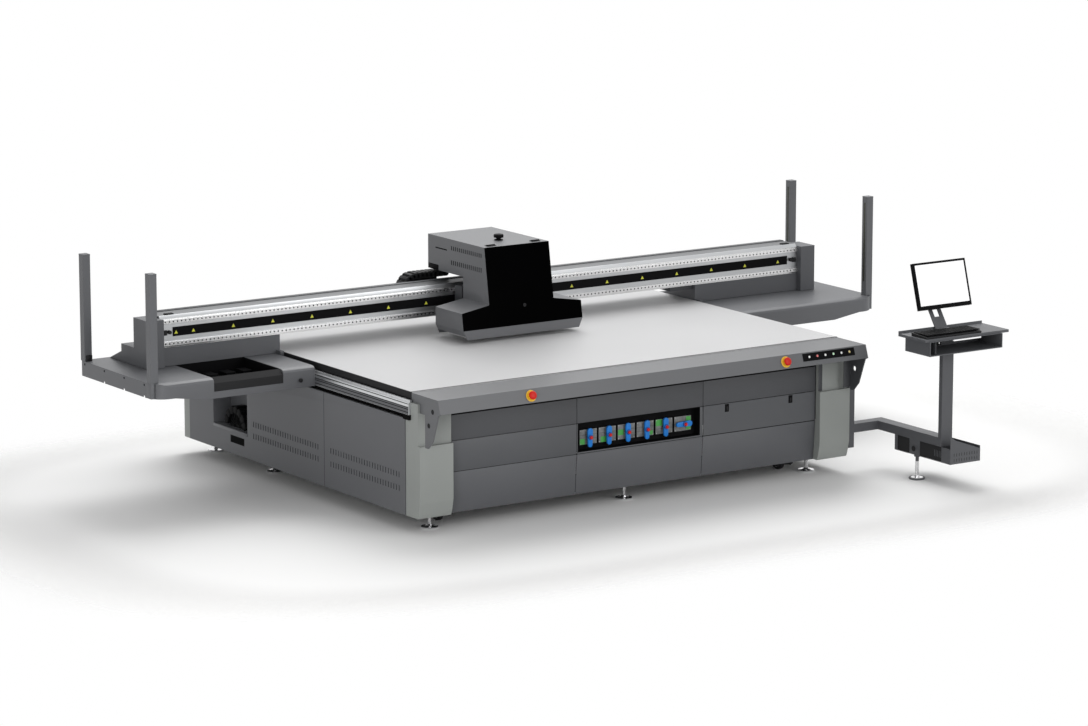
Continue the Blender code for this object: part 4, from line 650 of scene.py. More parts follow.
def add_panel(shape, x0, x1, z0, z1):
    """One flat panel between two heights."""
    y0, y1 = panel_y(z0), panel_y(z1)
    outline = [(y1, z1), (y0, z0), (y0 + PANEL_T, z0), (y1 + PANEL_T, z1)]
    outline = [(from_front(y), z) for y, z in outline]
    add_prism(shape, outline, "x", from_left(x0), from_left(x1), 0.0010)


def column_of_panels(node, rows, extra=()):
    """The panels of one column: whole rows, and extra pieces given by left, right, bottom and top."""
    low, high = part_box(node)
    x0, x1 = low.x - corner_x + GAP, high.x - corner_x - GAP
    shape = bmesh.new()
    for number in rows:
        bottom, top = ROWS[number]
        add_panel(shape, x0, x1, bottom + (GAP if number else 0), top - (GAP if number < 2 else 0))
    for left, right, bottom, top in extra:
        add_panel(shape, max(left, x0), min(right, x1), bottom, top)
    piece = finish_piece(node + "_rows", shape, SLATE, "cabinet")
    # The middle and upper rows take the darker copies: painted shade from the console above.
    tint(piece, SLATE_PAINTED_SHADE_MIDDLE, lambda face: row_low < face.center.z < row_high)
    tint(piece, SLATE_PAINTED_SHADE_UPPER, lambda face: face.center.z > row_high + GAP)
    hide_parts(node)


row_low, row_high = ROWS[1][0] + GAP, ROWS[1][1] - GAP
print("rows", [round(top - bottom, 3) for bottom, top in ROWS])

# %% Three columns of panels
column_of_panels("front_panel_left", (0, 1, 2))
column_of_panels("front_panel_center", (0, 2), (
    (0, window_low[0], row_low, row_high),
    (window_high[0], 9, row_low, row_high),
    (window_low[0] - 0.001, window_high[0] + 0.001, row_low, window_low[1]),
))
door_low, door_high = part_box("access_door")
column_of_panels("front_panel_right", (0, 2), (
    (0, door_low.x - corner_x - 0.001, row_low, row_high),
    (door_high.x - corner_x + 0.001, 9, row_low, row_high),
))

# %% [markdown]
# ## Strips behind the gaps
#
# On the real cabinet the frame's bars stand in shade behind the panels' gaps. Here thin near-black strips
# stand just behind the faces. They are painted shade that stops light in the gaps without cutting the panels.
# A near-black strip on the panels' face under the console's lip, and another beside the door, paint the shade
# that falls there.

# %% Strips behind the gaps
shape = bmesh.new()
first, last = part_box("front_panel_left")[0].x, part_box("front_panel_right")[1].x
add_box(shape, (first, from_front(0.0565), BREAK_Z - 0.008), (last, from_front(0.058), BREAK_Z + 0.006))
add_box(shape, (first, from_front(0.0535), 0.5805), (last, from_front(0.055), 0.592))
for node in ("front_panel_left", "front_panel_center"):
    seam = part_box(node)[1].x
    for bottom, top in ((0.125, BREAK_Z), (0.585, 0.79)):
        add_box(shape, (seam - 0.006, from_front(0.0745 if bottom < 0.2 else 0.0535), bottom),
                (seam + 0.006, from_front(0.076 if bottom < 0.2 else 0.055), top))
finish_piece("seam_painted_shade", shape, SHADOW, "cabinet")
# Painted shade on the panels' face: under the console's lip and beside the door.
shape = bmesh.new()
add_box(shape, (first + 0.001, from_front(0.0485), 0.748), (last - 0.001, from_front(0.0500), 0.7995))
add_box(shape, (door_high.x + 0.0008, from_front(0.0485), 0.390), (last - 0.0005, from_front(0.0500), 0.757))
finish_piece("console_painted_shade", shape, DEEP_BLACK, "cabinet")

# %% Painted shade beside the right column's neck
# Two thin plates in the dark frame coat paint the shade at the edges of the right column's neck.
shape = bmesh.new()
add_box(shape, at(3.1465, 0.0232, 0.584), at(3.1790, 0.0248, 0.790), 0.0004)
add_box(shape, at(3.3150, -0.0340, 0.600), at(3.3775, -0.0300, 0.800), 0.0006)
finish_piece("neck_painted_shade_plates", shape, FRAME_COAT, "cabinet")
print("front panels done")

# %% [markdown]
# ## Service door
#
# The door fills the middle row of the right column. Two quarter-turn catches near its top edge hold it shut.
# They could be drawn on with a texture, but real boxes catch the light and, as they ride on the door, swing
# with it.

# %% Door and catches
# The door takes the middle row's darker copy of the slate coat, which is painted shade under the console.
dress("access_door", SLATE_PAINTED_SHADE_MIDDLE, 0.0010)
shape = bmesh.new()
latches = bmesh.new()
for x in (2.415, 2.936):
    face = at(x, 0.050, 0.550)
    add_box(shape, face + Vector((-0.016, -0.0012, -0.026)), face + Vector((0.016, 0.0005, 0.026)), 0.0005)
    add_box(latches, face + Vector((-0.005, -0.0045, -0.018)), face + Vector((0.005, -0.001, 0.010)), 0.0012)
finish_piece("catch_plates", shape, DEEP_BLACK, "service_door")
finish_piece("catch_levers", latches, BLACK, "service_door")
print("door done")

# %% [markdown]
# ## Corner columns
#
# The two corner columns are sheet rolled around a large radius, in a paler coat than the covers. Their
# solids already have the curve, so their copies only take a wider edge radius, as rolled sheet has.

# %% Columns
for side in ("left", "right"):
    dress("corner_column_" + side, SAGE, 0.004, 3)

# %% [markdown]
# ## Louvres
#
# The long side covers are pressed with rows of louvres. A louvre is a slit with a small hood beside it,
# pushed out of the sheet. A bump texture would look flat from the side, so one function makes a real louvre
# and loops set the rows.

# %% One louvre
LOUVRE_PITCH = 0.0323
LOUVRE_H = 0.036
LOUVRE_FIELDS = ((1.246, 26, (0.363, 0.283)), (0.243, 26, (0.365, 0.277)))


def add_louvre(hoods, slits, x, y, z, out):
    """A slit and its hood on a side cover; out is -1 on the left and +1 on the right."""
    face = at(x, y, z)
    half = LOUVRE_H / 2
    outline = [(0.0, 0.001), (out * 0.0030, 0.0025), (out * 0.0032, 0.0040), (0.0, 0.0125)]
    outline = [(face.x + u, face.y + v) for u, v in outline]
    if out < 0:
        outline.reverse()
    add_prism(hoods, outline, "z", face.z - half, face.z + half)
    add_mark(slits, face.x, out, (face.y - 0.0042, face.y + 0.0015), (face.z - half, face.z + half))


print("louvre", LOUVRE_H, "m high")

# %% Side covers and their louvres
for side, x, out in (("left", 0.0, -1), ("right", mirrored(0.0), 1)):
    dress("side_panel_" + side, SLATE_DARK, 0.0012)
    hoods = bmesh.new()
    slits = bmesh.new()
    for start, count, rows in LOUVRE_FIELDS:
        for number in range(count + 1):
            for z in rows:
                add_louvre(hoods, slits, x, start + LOUVRE_PITCH * number, z, out)
    add_mark(slits, from_left(x), out, (from_front(1.1635), from_front(1.1665)), (0.116, 0.737))
    finish_piece("louvre_hoods_" + side, hoods, SLATE_DARK, "cabinet")
    finish_piece("louvre_slits_" + side, slits, SHADOW, "cabinet")

# %% [markdown]
# ## Under the chain's bay
#
# Below the bay of the left cover lie a small vent and a folded ledge. Both are flat boxes on the cover's
# face, the vent almost level with it and the ledge three millimetres proud.

# %% Vent and ledge under the chain's bay
box_piece("bay_vent", at(-0.0004, 2.213, 0.190), at(0.0003, 2.399, 0.240), 0, SHADOW, "cabinet")
box_piece("bay_ledge", at(-0.0030, 2.170, 0.262), at(0.0003, 2.630, 0.281), 0.0012, CONSOLE_COAT, "cabinet")

# %% [markdown]
# ## Rear cover
#
# The back of such a machine is closed by screwed sheets with louvres for the air. Cutting real slots would
# need a boolean for each, so thin dark marks stand a third of a millimetre proud of the cover instead.

# %% Rear cover
REAR_SUNK = 0.0005
REAR_PROUD = 0.0003
SEAM_HALF = 0.0015
REAR_SEAMS = (1.130, 2.270)
REAR_FIELDS = (0.365, 1.500, 2.635)
REAR_ROWS = (0.240, 0.300, 0.660, 0.720)
REAR_PITCH = 0.0308
SCREW_ROWS = (0.140, 0.485, 0.830)
SCREW_PITCH = 0.3644
dress("rear_panel", SAGE, 0.0015)
shape = bmesh.new()
screws = bmesh.new()
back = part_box("rear_panel")[1].y
for x in REAR_SEAMS:
    add_box(shape, (from_left(x) - SEAM_HALF, back - REAR_SUNK, 0.116),
            (from_left(x) + SEAM_HALF, back + REAR_PROUD, 0.852))
for start in REAR_FIELDS:
    for number in range(14):
        for z in REAR_ROWS:
            spot = at(start + REAR_PITCH * number, 0, z)
            add_box(shape, (spot.x - 0.0035, back - REAR_SUNK, z - 0.020),
                    (spot.x + 0.0035, back + REAR_PROUD, z + 0.020))
for column in range(10):
    for z in SCREW_ROWS:
        spot = at(0.060 + SCREW_PITCH * column, 0, z)
        add_rod(screws, (spot.x, back - REAR_SUNK, z), (spot.x, back + REAR_PROUD, z), 0.0060, 16)
finish_piece("rear_seams", shape, SHADOW, "cabinet")
finish_piece("rear_screws", screws, STEEL, "cabinet")
print("covers done")

# %% [markdown]
# ## Cable chains
#
# A cable chain is a row of plastic links: two side plates and two cross bars each. An array that follows a
# curve would bend each link, but real links are stiff. So they stand at equal steps along the loop's middle
# line, each turned to the line's direction. The same function serves both chains.

# %% Links along a line


def loop_line(middle, radius, start, end, before, after, steps=24):
    """A half circle with a straight run before and after it."""
    return [before] + arc(middle, radius, start, end, steps) + [after]


def walk(line, pitch):
    """Points and directions at equal steps along a line."""
    places = []
    travelled = pitch / 2
    for (u0, v0), (u1, v1) in zip(line, line[1:]):
        length = math.hypot(u1 - u0, v1 - v0)
        while travelled <= length:
            share = travelled / length
            places.append((u0 + (u1 - u0) * share, v0 + (v1 - v0) * share, math.atan2(v1 - v0, u1 - u0)))
            travelled += pitch
        travelled -= length
    return places


print("line helpers ready")

# %% One link


def add_link(shape, u, v, turn, axis, low, high, pitch, deep):
    """One link: two side plates with round ends, two cross bars, and the cables' bundle between them."""
    half = deep / 2
    plate = arc((pitch * 0.10, 0), half, -70, 70, 4) + arc((-pitch * 0.10, 0), half, 110, 250, 4)
    cos, sin = math.cos(turn), math.sin(turn)

    def turned(points):
        """The link's own points, turned and moved to its place."""
        return [(u + a * cos - b * sin, v + a * sin + b * cos) for a, b in points]

    wall = (high - low) * 0.09
    for start, end in ((low, low + wall), (high - wall, high)):
        add_prism(shape, turned(plate), axis, start, end, 0.0008)
    for reach, centre, deep_share in ((0.34, 0.84, 0.14), (0.34, -0.84, 0.14), (0.52, 0.0, 0.62)):
        a, b = pitch * reach, half * centre
        low_b, high_b = b - half * deep_share, b + half * deep_share
        bar = [(-a, low_b), (a, low_b), (a, high_b), (-a, high_b)]
        add_prism(shape, turned(bar), axis, low + wall * 0.6, high - wall * 0.6, 0.0006)


def chain(name, line, axis, low, high, pitch, deep, body, node, material):
    """All the links along a line, shown in place of the chain's solid."""
    shape = bmesh.new()
    for u, v, turn in walk(line, pitch):
        add_link(shape, u, v, turn, axis, low, high, pitch, deep)
    piece = finish_piece(name, shape, material, body)
    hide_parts(node)


print("links ready")

# %% The carriage's chain
low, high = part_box("cable_chain")
link = 0.045
radius = (high.z - low.z - link) / 2
middle = (low.x + radius + link / 2, (low.z + high.z) / 2)
line = loop_line(middle, radius, 90, 270, (high.x - 0.125, high.z - link / 2), (high.x - 0.005, low.z + link / 2))
chain("carriage_chain_links", line, "y", low.y + 0.001, high.y - 0.001, 0.0335, link * 0.97, "print_unit",
      "cable_chain", CHAIN_BLACK)

# %% [markdown]
# ## The gantry's chain
#
# The gantry's own chain hangs in the bay of the left cover as one large arch. It uses the same links, wider
# ones, on an arc. A spoked guide behind it, made of thin rods, fills the arch as on the real machine.

# %% The gantry's chain and its guide
low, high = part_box("side_cable_chain")
link = 0.055
radius = (high.y - low.y - link) / 2
middle = ((low.y + high.y) / 2, low.z + 0.0005)
line = arc(middle, radius, 8, 172, 24)
chain("gantry_chain_links", line, "x", low.x + 0.001, high.x - 0.001, 0.052, link * 0.95, "cabinet",
      "side_cable_chain", DEEP_BLACK)
shape = bmesh.new()
inner = radius - link * 0.45
add_prism(shape, arc(middle, inner, 0, 180, 24), "x", low.x + 0.020, low.x + 0.024)
for number in range(9):
    angle = math.radians(18 * (number + 1))
    tip = (middle[0] + inner * math.cos(angle), middle[1] + inner * math.sin(angle))
    add_rod(shape, (low.x + 0.018, middle[0] + 0.3 * (tip[0] - middle[0]), middle[1] + 0.3 * (tip[1] - middle[1])),
            (low.x + 0.018, *tip), 0.004, 10)
finish_piece("gantry_chain_guide", shape, DEEP_BLACK, "cabinet")
print("chains done")

# %% [markdown]
# ## The bed
#
# The bed's top is one satin sheet. Its sides are closed with a black edge strip, which draws the thin dark
# outline around the pale surface. The strip could be a second colour on the bed, but the real one is a part
# that is glued on and stands a little proud, so it is one here too.

# %% Bed and its edge strips
dress("vacuum_bed", BED_SKIN, 0.0012)
low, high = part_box("vacuum_bed")
shape = bmesh.new()
for x0, x1 in ((low.x - 0.0016, low.x + 0.0002), (high.x - 0.0002, high.x + 0.0016)):
    add_box(shape, (x0, low.y, low.z + 0.001), (x1, high.y, high.z - 0.001), 0.0004)
add_box(shape, (low.x, high.y - 0.0002, low.z + 0.001), (high.x, high.y + 0.0016, high.z - 0.001), 0.0004)
add_box(shape, (low.x, low.y + 0.0002, high.z - 0.0003), (high.x, low.y + 0.0130, high.z + 0.0005))
finish_piece("bed_edge_strips", shape, BLACK, "cabinet")

# %% [markdown]
# ## Side beams
#
# The gantry runs on two slotted extrusions beside the bed. Slots and guide bolts are long rows of the same
# thing, so loops lay them as thin dark marks. Near-black liners behind the beams stop light that the real
# frame would, and paint the shade that lies there.

# %% Dark liners behind the side beams
shape = bmesh.new()
for x0, x1 in ((0.0232, 0.0246), (mirrored(0.0246), mirrored(0.0232))):
    add_box(shape, at(x0, 0.175, 0.700), at(x1, 2.955, 0.858))
for x0, x1 in ((-0.0110, 0.0240), (mirrored(0.0240), mirrored(-0.0110))):
    add_box(shape, at(x0, 0.1060, 0.7380), at(x1, 0.1745, 0.7725))
finish_piece("side_painted_shade_liners", shape, SHADOW, "cabinet")

# %% Side beams with slots, guide and bolts
BAND_HEIGHTS = (0.7735, 0.8215)
SLOT_HEIGHTS = (0.7855, 0.8060, 0.8190, 0.8400)
SLOT_HEIGHT = 0.0045
GUIDE_BOLT_PITCH = 0.060
for side in ("left", "right"):
    dress("side_rail_" + side, ALUMINIUM_Y, 0.0008)
    low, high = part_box("side_rail_" + side)
    out = -1 if side == "left" else 1
    face = low.x if side == "left" else high.x
    band = bmesh.new()
    add_mark(band, face, out, (low.y + 0.001, high.y - 0.001), BAND_HEIGHTS, 0.0002)
    finish_piece("side_beam_band_" + side, band, SLATE, "cabinet")
    slots = bmesh.new()
    for z in SLOT_HEIGHTS:
        add_mark(slots, face, out, (low.y + 0.002, high.y - 0.002), (z, z + SLOT_HEIGHT), 0.0004, 0.0004)
    finish_piece("side_beam_slots_" + side, slots, SHADOW, "cabinet")
    bolts = bmesh.new()
    guide = (low.x + high.x) / 2
    for number in range(46):
        y = low.y + 0.05 + GUIDE_BOLT_PITCH * number
        add_rod(bolts, (guide, y, high.z - 0.0004), (guide, y, high.z + 0.0002), 0.0042, 12)
    finish_piece("guide_bolts_" + side, bolts, SHADOW, "cabinet")
print("bed done")

# %% [markdown]
# ## The console
#
# The console is a long folded box across the front. Its right gusset is painted darker in the frame's coat,
# which is painted shade, as that face lies in shadow. A second object for the gusset would leave a seam, so
# the faces that belong to it are picked by place.
# The controls stand on its leaning face, so the way that face looks is read from a stop button's joint.

# %% Console
console = dress("console", CONSOLE_COAT, 0.0028, 3)
console_low, console_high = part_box("console")
# The right gusset's faces take the dark frame coat: painted shade.
tint(console, FRAME_COAT, lambda face: face.center.x > console_high.x - 0.025 and face.center.z < 0.80)
press = next(j for j in frame["joints"] if j["name"] == "stop_press_left")
OUTWARD = -Vector(press["axis"])
UPWARD = Vector((0, OUTWARD.z, -OUTWARD.y))
print("controls look along", [round(v, 3) for v in OUTWARD])

# %% [markdown]
# ## Plugs in the console's ends
#
# Rubber plugs close the holes through which the console is bolted on. A plug is a short rod that starts just
# inside the face, so that no gap shows, and stands less than a millimetre proud.

# %% Plugs in the console's ends
PLUG_SUNK = 0.0006
PLUG_LENGTH = 0.0010
shape = bmesh.new()
for face, out in ((console_low.x, -1), (console_high.x, 1)):
    spot = Vector((face - out * PLUG_SUNK, from_front(-0.125), 0.827))
    add_rod(shape, spot, spot + Vector((out * PLUG_LENGTH, 0, 0)), 0.0165, 24)
spot = Vector((console_low.x + 0.002, from_front(-0.078), 0.731))
add_rod(shape, spot, spot + Vector((0.006, 0, 0)), 0.0168, 24)
finish_piece("console_end_plugs", shape, RUBBER, "cabinet")

# %% [markdown]
# ## Turned rings
#
# A collar, a bezel and a tyre have a hole through them, so their profile never meets the axis. The screw
# modifier could turn it too, but a helper that joins circles of corners needs no extra object.

# %% Turned rings


def add_ring(shape, profile, foot, axis, sides=28):
    """A turned ring: a closed loop of (radius, height) pairs that stays off the axis."""
    rings = [add_circle(shape, radius, height, foot, axis, sides) for radius, height in profile]
    for lower, upper in zip(rings, rings[1:] + rings[:1]):
        for step in range(sides):
            after = (step + 1) % sides
            shape.faces.new((lower[step], lower[after], upper[after], upper[step]))


def ring_piece(name, profile, foot, axis, sides, material, body):
    """A fitting that is one turned ring."""
    shape = bmesh.new()
    add_ring(shape, profile, foot, axis, sides)
    return finish_piece(name, shape, material, body)


def middle_of(node):
    """The middle of a node's box."""
    low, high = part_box(node)
    return (low + high) / 2


print("rings ready")

# %% [markdown]
# ## Emergency stops
#
# The emergency stop is a mushroom head on a yellow collar. Both are turned shapes, so each is a short
# profile. The head rides on its own body and the collar on the cabinet, so that pressing moves the head only.

# %% Emergency stops
STOP_REACH = 0.0338
STOP_INNER = 0.020
for side in ("left", "right"):
    node = "estop_" + side
    spot = middle_of(node)
    foot = at(0.706 if side == "left" else 2.706, 0, 0)
    face = Vector((foot.x, from_front(-0.186), 0.910)) - UPWARD * 0.046
    head = [(0, -STOP_INNER), (0.0105, -STOP_INNER), (0.0105, 0.0181), (0.0220, 0.0181), (0.0270, 0.0192),
            (0.0279, 0.0222), (0.0270, 0.0268), (0.0228, 0.0308), (0.0140, 0.0332), (0, STOP_REACH)]
    piece = turned_piece(node + "_head", head, face, OUTWARD, 36, RED, "stop_" + side)
    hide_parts(node)
    collar = [(0.0125, 0.0003), (0.0370, 0.0003), (0.0370, 0.0022), (0.0355, 0.0032), (0.0205, 0.0032),
              (0.0200, 0.0118), (0.0190, 0.0125), (0.0125, 0.0125)]
    ring_piece(node + "_collar", collar, face, OUTWARD, 36, YELLOW, "cabinet")
    print(node, "at", [round(v, 3) for v in spot])

# %% [markdown]
# ## Push buttons
#
# Six round buttons with lit caps stand in a row on a black plate. Each is a lens in a bezel. Two turned
# shapes are made instead of one with two colours, because the lens shows a thin shadow where it sinks in.

# %% Push buttons on their plate
dress("button_plate", DEEP_BLACK, 0.0007)
COLOURS = ("white", "red", "white", "green", "white", "amber")
RECORD_SLOTS = ("lamp_white", "red_plastic", "lamp_white", "lamp_green", "lamp_white", "lamp_amber")
plate_middle = middle_of("button_plate")
for number, (colour, slot) in enumerate(zip(COLOURS, RECORD_SLOTS), start=1):
    node = f"push_button_{number}"
    x = middle_of(node).x
    face = Vector((x, plate_middle.y, plate_middle.z)) + OUTWARD * 0.0015
    lens = [(0, -0.0110), (0.0079, -0.0110), (0.0079, 0.0058), (0.0072, 0.0066), (0, 0.0070)]
    piece = turned_piece(node + "_lens", lens, face, OUTWARD, 28, LENS[colour], f"button_{number}")
    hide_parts(node)
    bezel = [(0.0082, -0.0110), (0.0108, -0.0110), (0.0108, 0.0044), (0.0102, 0.0056), (0.0086, 0.0060),
             (0.0082, 0.0054)]
    ring_piece(node + "_bezel", bezel, face, OUTWARD, 28, BLACK, f"button_{number}")
print("controls done")

# %% [markdown]
# ## Suction valves
#
# Each valve opens one of the bed's six zones. A small plate behind the handle marks the zone in green, at the
# place that it has on the bed. The plates could be one printed image on a flat sheet, but an image blurs
# close by, so the zones, lines and screws are thin boxes and turned heads set by a loop.

# %% Finish and screw of the valve plates


def add_screw(shape, place, axis, radius=0.005):
    """A low domed screw head with a hex socket's dark dimple left to its shadow."""
    r = radius
    profile = [(0, -0.0005), (r, -0.0005), (r, 0.35 * r), (0.8 * r, 0.6 * r), (0.42 * r, 0.68 * r),
               (0.40 * r, 0.2 * r), (0, 0.2 * r)]
    add_lathe(shape, profile, place, axis, 12)


dress("valve_panel", DEEP_BLACK, 0.0008)
zone_green = moulded("zone_green", (0.06, 0.36, 0.06), 0.45, 60.0)
plate = Finish("valve_plate", (0.15, 0.155, 0.155), 0.5)
plate.set("Base Color", plate.blend(plate.noise(34.0, 5.0), (0.035, 0.037, 0.037), (0.29, 0.30, 0.30)))
plate.bump(plate.noise(300.0), 0.1, 0.0004)
plate_grey = plate.material
print("valve finishes ready")

# %% Valve plates
VALVE_FIRST = 1.346
VALVE_PITCH = 0.1495
VALVE_HEIGHT = 0.475
valve_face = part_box("valve_handle_1")[1].y + 0.0144
ZONES = ((-0.046, -0.029, 0.019, 0.018), (-0.030, -0.030, 0.022, 0.018), (-0.044, -0.002, 0.021, 0.018),
         (0.047, -0.031, 0.014, 0.013), (-0.040, 0.026, 0.025, 0.021), (0.045, 0.000, 0.018, 0.044))
plates = bmesh.new()
zones = bmesh.new()
lines = bmesh.new()
screws = bmesh.new()
for number, (u, v, half_u, half_v) in enumerate(ZONES, start=1):
    x = from_left(VALVE_FIRST + VALVE_PITCH * (number - 1))
    z = VALVE_HEIGHT
    add_box(plates, (x - 0.067, valve_face - 0.0012, z - 0.049), (x + 0.067, valve_face - 0.0001, z + 0.049), 0.0005)
    add_box(zones, (x + u - half_u, valve_face - 0.0016, z + v - half_v),
            (x + u + half_u, valve_face - 0.0010, z + v + half_v))
    for line in (-0.0225, 0.0225):
        add_box(lines, (x + line - 0.0006, valve_face - 0.0015, z - 0.042),
                (x + line + 0.0006, valve_face - 0.0010, z + 0.042))
    for line in (-0.014, 0.014):
        add_box(lines, (x - 0.065, valve_face - 0.0015, z + line - 0.0006),
                (x + 0.065, valve_face - 0.0010, z + line + 0.0006))
    for a in (-0.060, 0.060):
        for b in (-0.043, 0.043):
            add_screw(screws, (x + a, valve_face - 0.0010, z + b), (0, -1, 0), 0.0028)
finish_piece("valve_plates", plates, plate_grey, "cabinet")
finish_piece("valve_zones", zones, zone_green, "cabinet")
finish_piece("valve_plate_lines", lines, SHADOW, "cabinet")
finish_piece("valve_plate_screws", screws, STEEL, "cabinet")
box_piece("valve_window_sill", at(window_low[0] + 0.001, 0.0495, window_low[1] - 0.0002),
          at(window_high[0] - 0.001, 0.0535, 0.3922), 0.0004, CONSOLE_COAT, "cabinet")

# %% [markdown]
# ## Valve handles
#
# A blue wing handle turns each valve, held by a boss and a red cap. The last valve is shut, so its handle
# lies across. The wing is one outline of two arcs carried through its thickness, with a wide rounded edge.

# %% Valve handles
HANDLE_T = 0.014
for number in range(1, 7):
    node = f"valve_handle_{number}"
    joint = next(j for j in frame["joints"] if j["name"] == f"valve_turn_{number}")
    hub = Vector(joint["pos_m"])
    turn = math.radians(90) if joint["range_deg"][0] < 0 else 0.0
    outline = arc((0, 0.040), 0.0198, 0, 180, 12) + arc((0, -0.050), 0.0158, 180, 360, 12)
    cos, sin = math.cos(turn), math.sin(turn)
    outline = [(hub.x + u * cos + v * sin, hub.z - u * sin + v * cos) for u, v in outline]
    shape = bmesh.new()
    add_prism(shape, outline, "y", hub.y - HANDLE_T, hub.y - 0.0002, 0.0045)
    piece = finish_piece(node + "_wing", shape, BLUE, f"valve_{number}")
    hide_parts(node)
    front = hub - Vector((0, HANDLE_T - 0.0002, 0))
    boss = [(0, 0), (0.0172, 0), (0.0165, 0.0060), (0.0150, 0.0070), (0, 0.0070)]
    turned_piece(node + "_boss", boss, front, (0, -1, 0), 28, BLUE_DEEP, f"valve_{number}")
    cap = [(0, 0.0068), (0.0112, 0.0068), (0.0112, 0.0140), (0.0098, 0.0160), (0, 0.0165)]
    turned_piece(node + "_cap", cap, front, (0, -1, 0), 28, RED, f"valve_{number}")
recolour("vacuum_manifold", STEEL)
print("valves done")

# %% [markdown]
# ## Frame and feet
#
# The levelling feet are part of the frame's solid, so the frame is shown as a copy with its bars' edges
# eased, and turned chrome pieces dress each foot: a round pad, a hexagonal nut and a stem.

# %% Frame and feet
dress("base_frame", FRAME_COAT, 0.0030, 2)
FEET = [(x, y) for x in (0.205, mirrored(0.205)) for y in (0.2103, 2.163, 2.971)] + [(1.70, 0.205)]
pads = bmesh.new()
nuts = bmesh.new()
pad = [(0, 0.0001), (0.0552, 0.0001), (0.0557, 0.0015), (0.0557, 0.0095), (0.0535, 0.0124), (0.0300, 0.0135),
       (0.0205, 0.0170), (0.0165, 0.0250), (0.0127, 0.0262), (0.0127, 0.0300), (0, 0.0300)]
nut = [(0, 0), (0.0225, 0), (0.0225, 0.0142), (0, 0.0142)]
for x, y in FEET:
    foot = at(x, y, 0)
    add_lathe(pads, pad, foot, (0, 0, 1), 40)
    add_lathe(nuts, nut, foot + Vector((0, 0, 0.088)), (0, 0, 1), 6)
finish_piece("foot_pads", pads, CHROME, "cabinet")
finish_piece("foot_nuts", nuts, STEEL, "cabinet")

# %% [markdown]
# ## Threads
#
# A foot's stem is threaded. A helix would be true to it, but stacked rings look the same and take far fewer
# faces. They are one profile of teeth, turned around the stem.

# %% Foot stems
THREAD_START = 0.0300
THREAD_PITCH = 0.0062
stems = bmesh.new()
for x, y in FEET:
    foot = at(x, y, 0)
    thread = [(0, 0.0262)]
    for turn in range(15):
        z = THREAD_START + THREAD_PITCH * turn
        thread += [(0.0130, z), (0.0130, z + 0.0022), (0.0123, z + 0.0031), (0.0123, z + 0.0053)]
    thread.append((0, thread[-1][1]))
    add_lathe(stems, thread, foot, (0, 0, 1), 20)
finish_piece("foot_stems", stems, CHROME, "cabinet", 20)

# %% [markdown]
# ## Castors
#
# Four castors roll the machine to its place. A wheel is a rubber tyre on an aluminium rim. Both are turned
# rings around the axle, and they replace the plain wheel, so the profile alone gives the tyre its soft edge.

# %% Wheels
WHEEL_R = 0.058
WHEEL_HALF = 0.017
tyre = [(0.0400, -WHEEL_HALF + 0.002), (0.0520, -WHEEL_HALF), (0.0565, -WHEEL_HALF + 0.003),
        (WHEEL_R, -WHEEL_HALF + 0.009), (WHEEL_R, WHEEL_HALF - 0.009), (0.0565, WHEEL_HALF - 0.003),
        (0.0520, WHEEL_HALF), (0.0400, WHEEL_HALF - 0.002)]
rim = [(0.0086, -0.0165), (0.0150, -0.0165), (0.0170, -0.0120), (0.0340, -0.0100), (0.0375, -0.0155),
       (0.0403, -0.0155), (0.0403, 0.0155), (0.0375, 0.0155), (0.0340, 0.0100), (0.0170, 0.0120),
       (0.0150, 0.0165), (0.0086, 0.0165)]
for end in ("front", "rear"):
    for side in ("left", "right"):
        node = f"caster_wheel_{end}_{side}"
        centre = middle_of(node)
        body = f"wheel_{end}_{side}"
        piece = ring_piece(f"tyre_{end}_{side}", tyre, centre, (1, 0, 0), 48, RUBBER, body)
        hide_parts(node)
        ring_piece(f"rim_{end}_{side}", rim, centre, (1, 0, 0), 48, ALUMINIUM, body)

# %% [markdown]
# ## Castor forks
#
# The front forks swivel, and a black guard wraps around each. Three boxes make the guard. It rides on the
# fork's body, so it turns with the fork.

# %% Forks and guards
for side in ("left", "right"):
    dress("caster_fork_" + side, STEEL, 0.0008)
    low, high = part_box("caster_fork_" + side)
    guard = bmesh.new()
    for x0, x1 in ((low.x - 0.016, low.x + 0.0005), (high.x - 0.0005, high.x + 0.016)):
        add_box(guard, (x0, low.y + 0.004, 0.042), (x1, high.y - 0.004, 0.108), 0.005)
    add_box(guard, (low.x - 0.016, low.y - 0.012, 0.052), (high.x + 0.016, low.y + 0.0005, 0.108), 0.005)
    finish_piece("castor_guard_" + side, guard, BLACK, "swivel_" + side)
print("feet and castors done")

# %% [markdown]
# ## Wings
#
# The wings are deep folded boxes with round corners, so their copies take a wide bevel. Rows of holes run
# along their outer faces: an upper row of dark dots, and a lower row of glowing white dots that paint the
# light showing through those holes. They are short rods that stand barely proud, which is simpler than
# cutting holes and leaves the solid whole.

# %% Wings
for side in ("left", "right"):
    dress("wing_" + side, WING_COAT, 0.0025, 3)
wing_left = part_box("wing_left")[0].x
wing_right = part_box("wing_right")[1].x
holes = bmesh.new()
painted_light_dots = bmesh.new()
for face, out in ((wing_left, -1), (wing_right, 1)):
    for marks, z, places in ((holes, 0.882, (1.39, 1.66, 1.93, 2.20)), (painted_light_dots, 0.805, (1.39, 1.66, 1.93))):
        for y in places:
            spot = Vector((face - out * PLUG_SUNK, from_front(y), z))
            add_rod(marks, spot, spot + Vector((out * 0.0009, 0, 0)), 0.0080, 20)
finish_piece("wing_holes", holes, SHADOW, "cabinet")
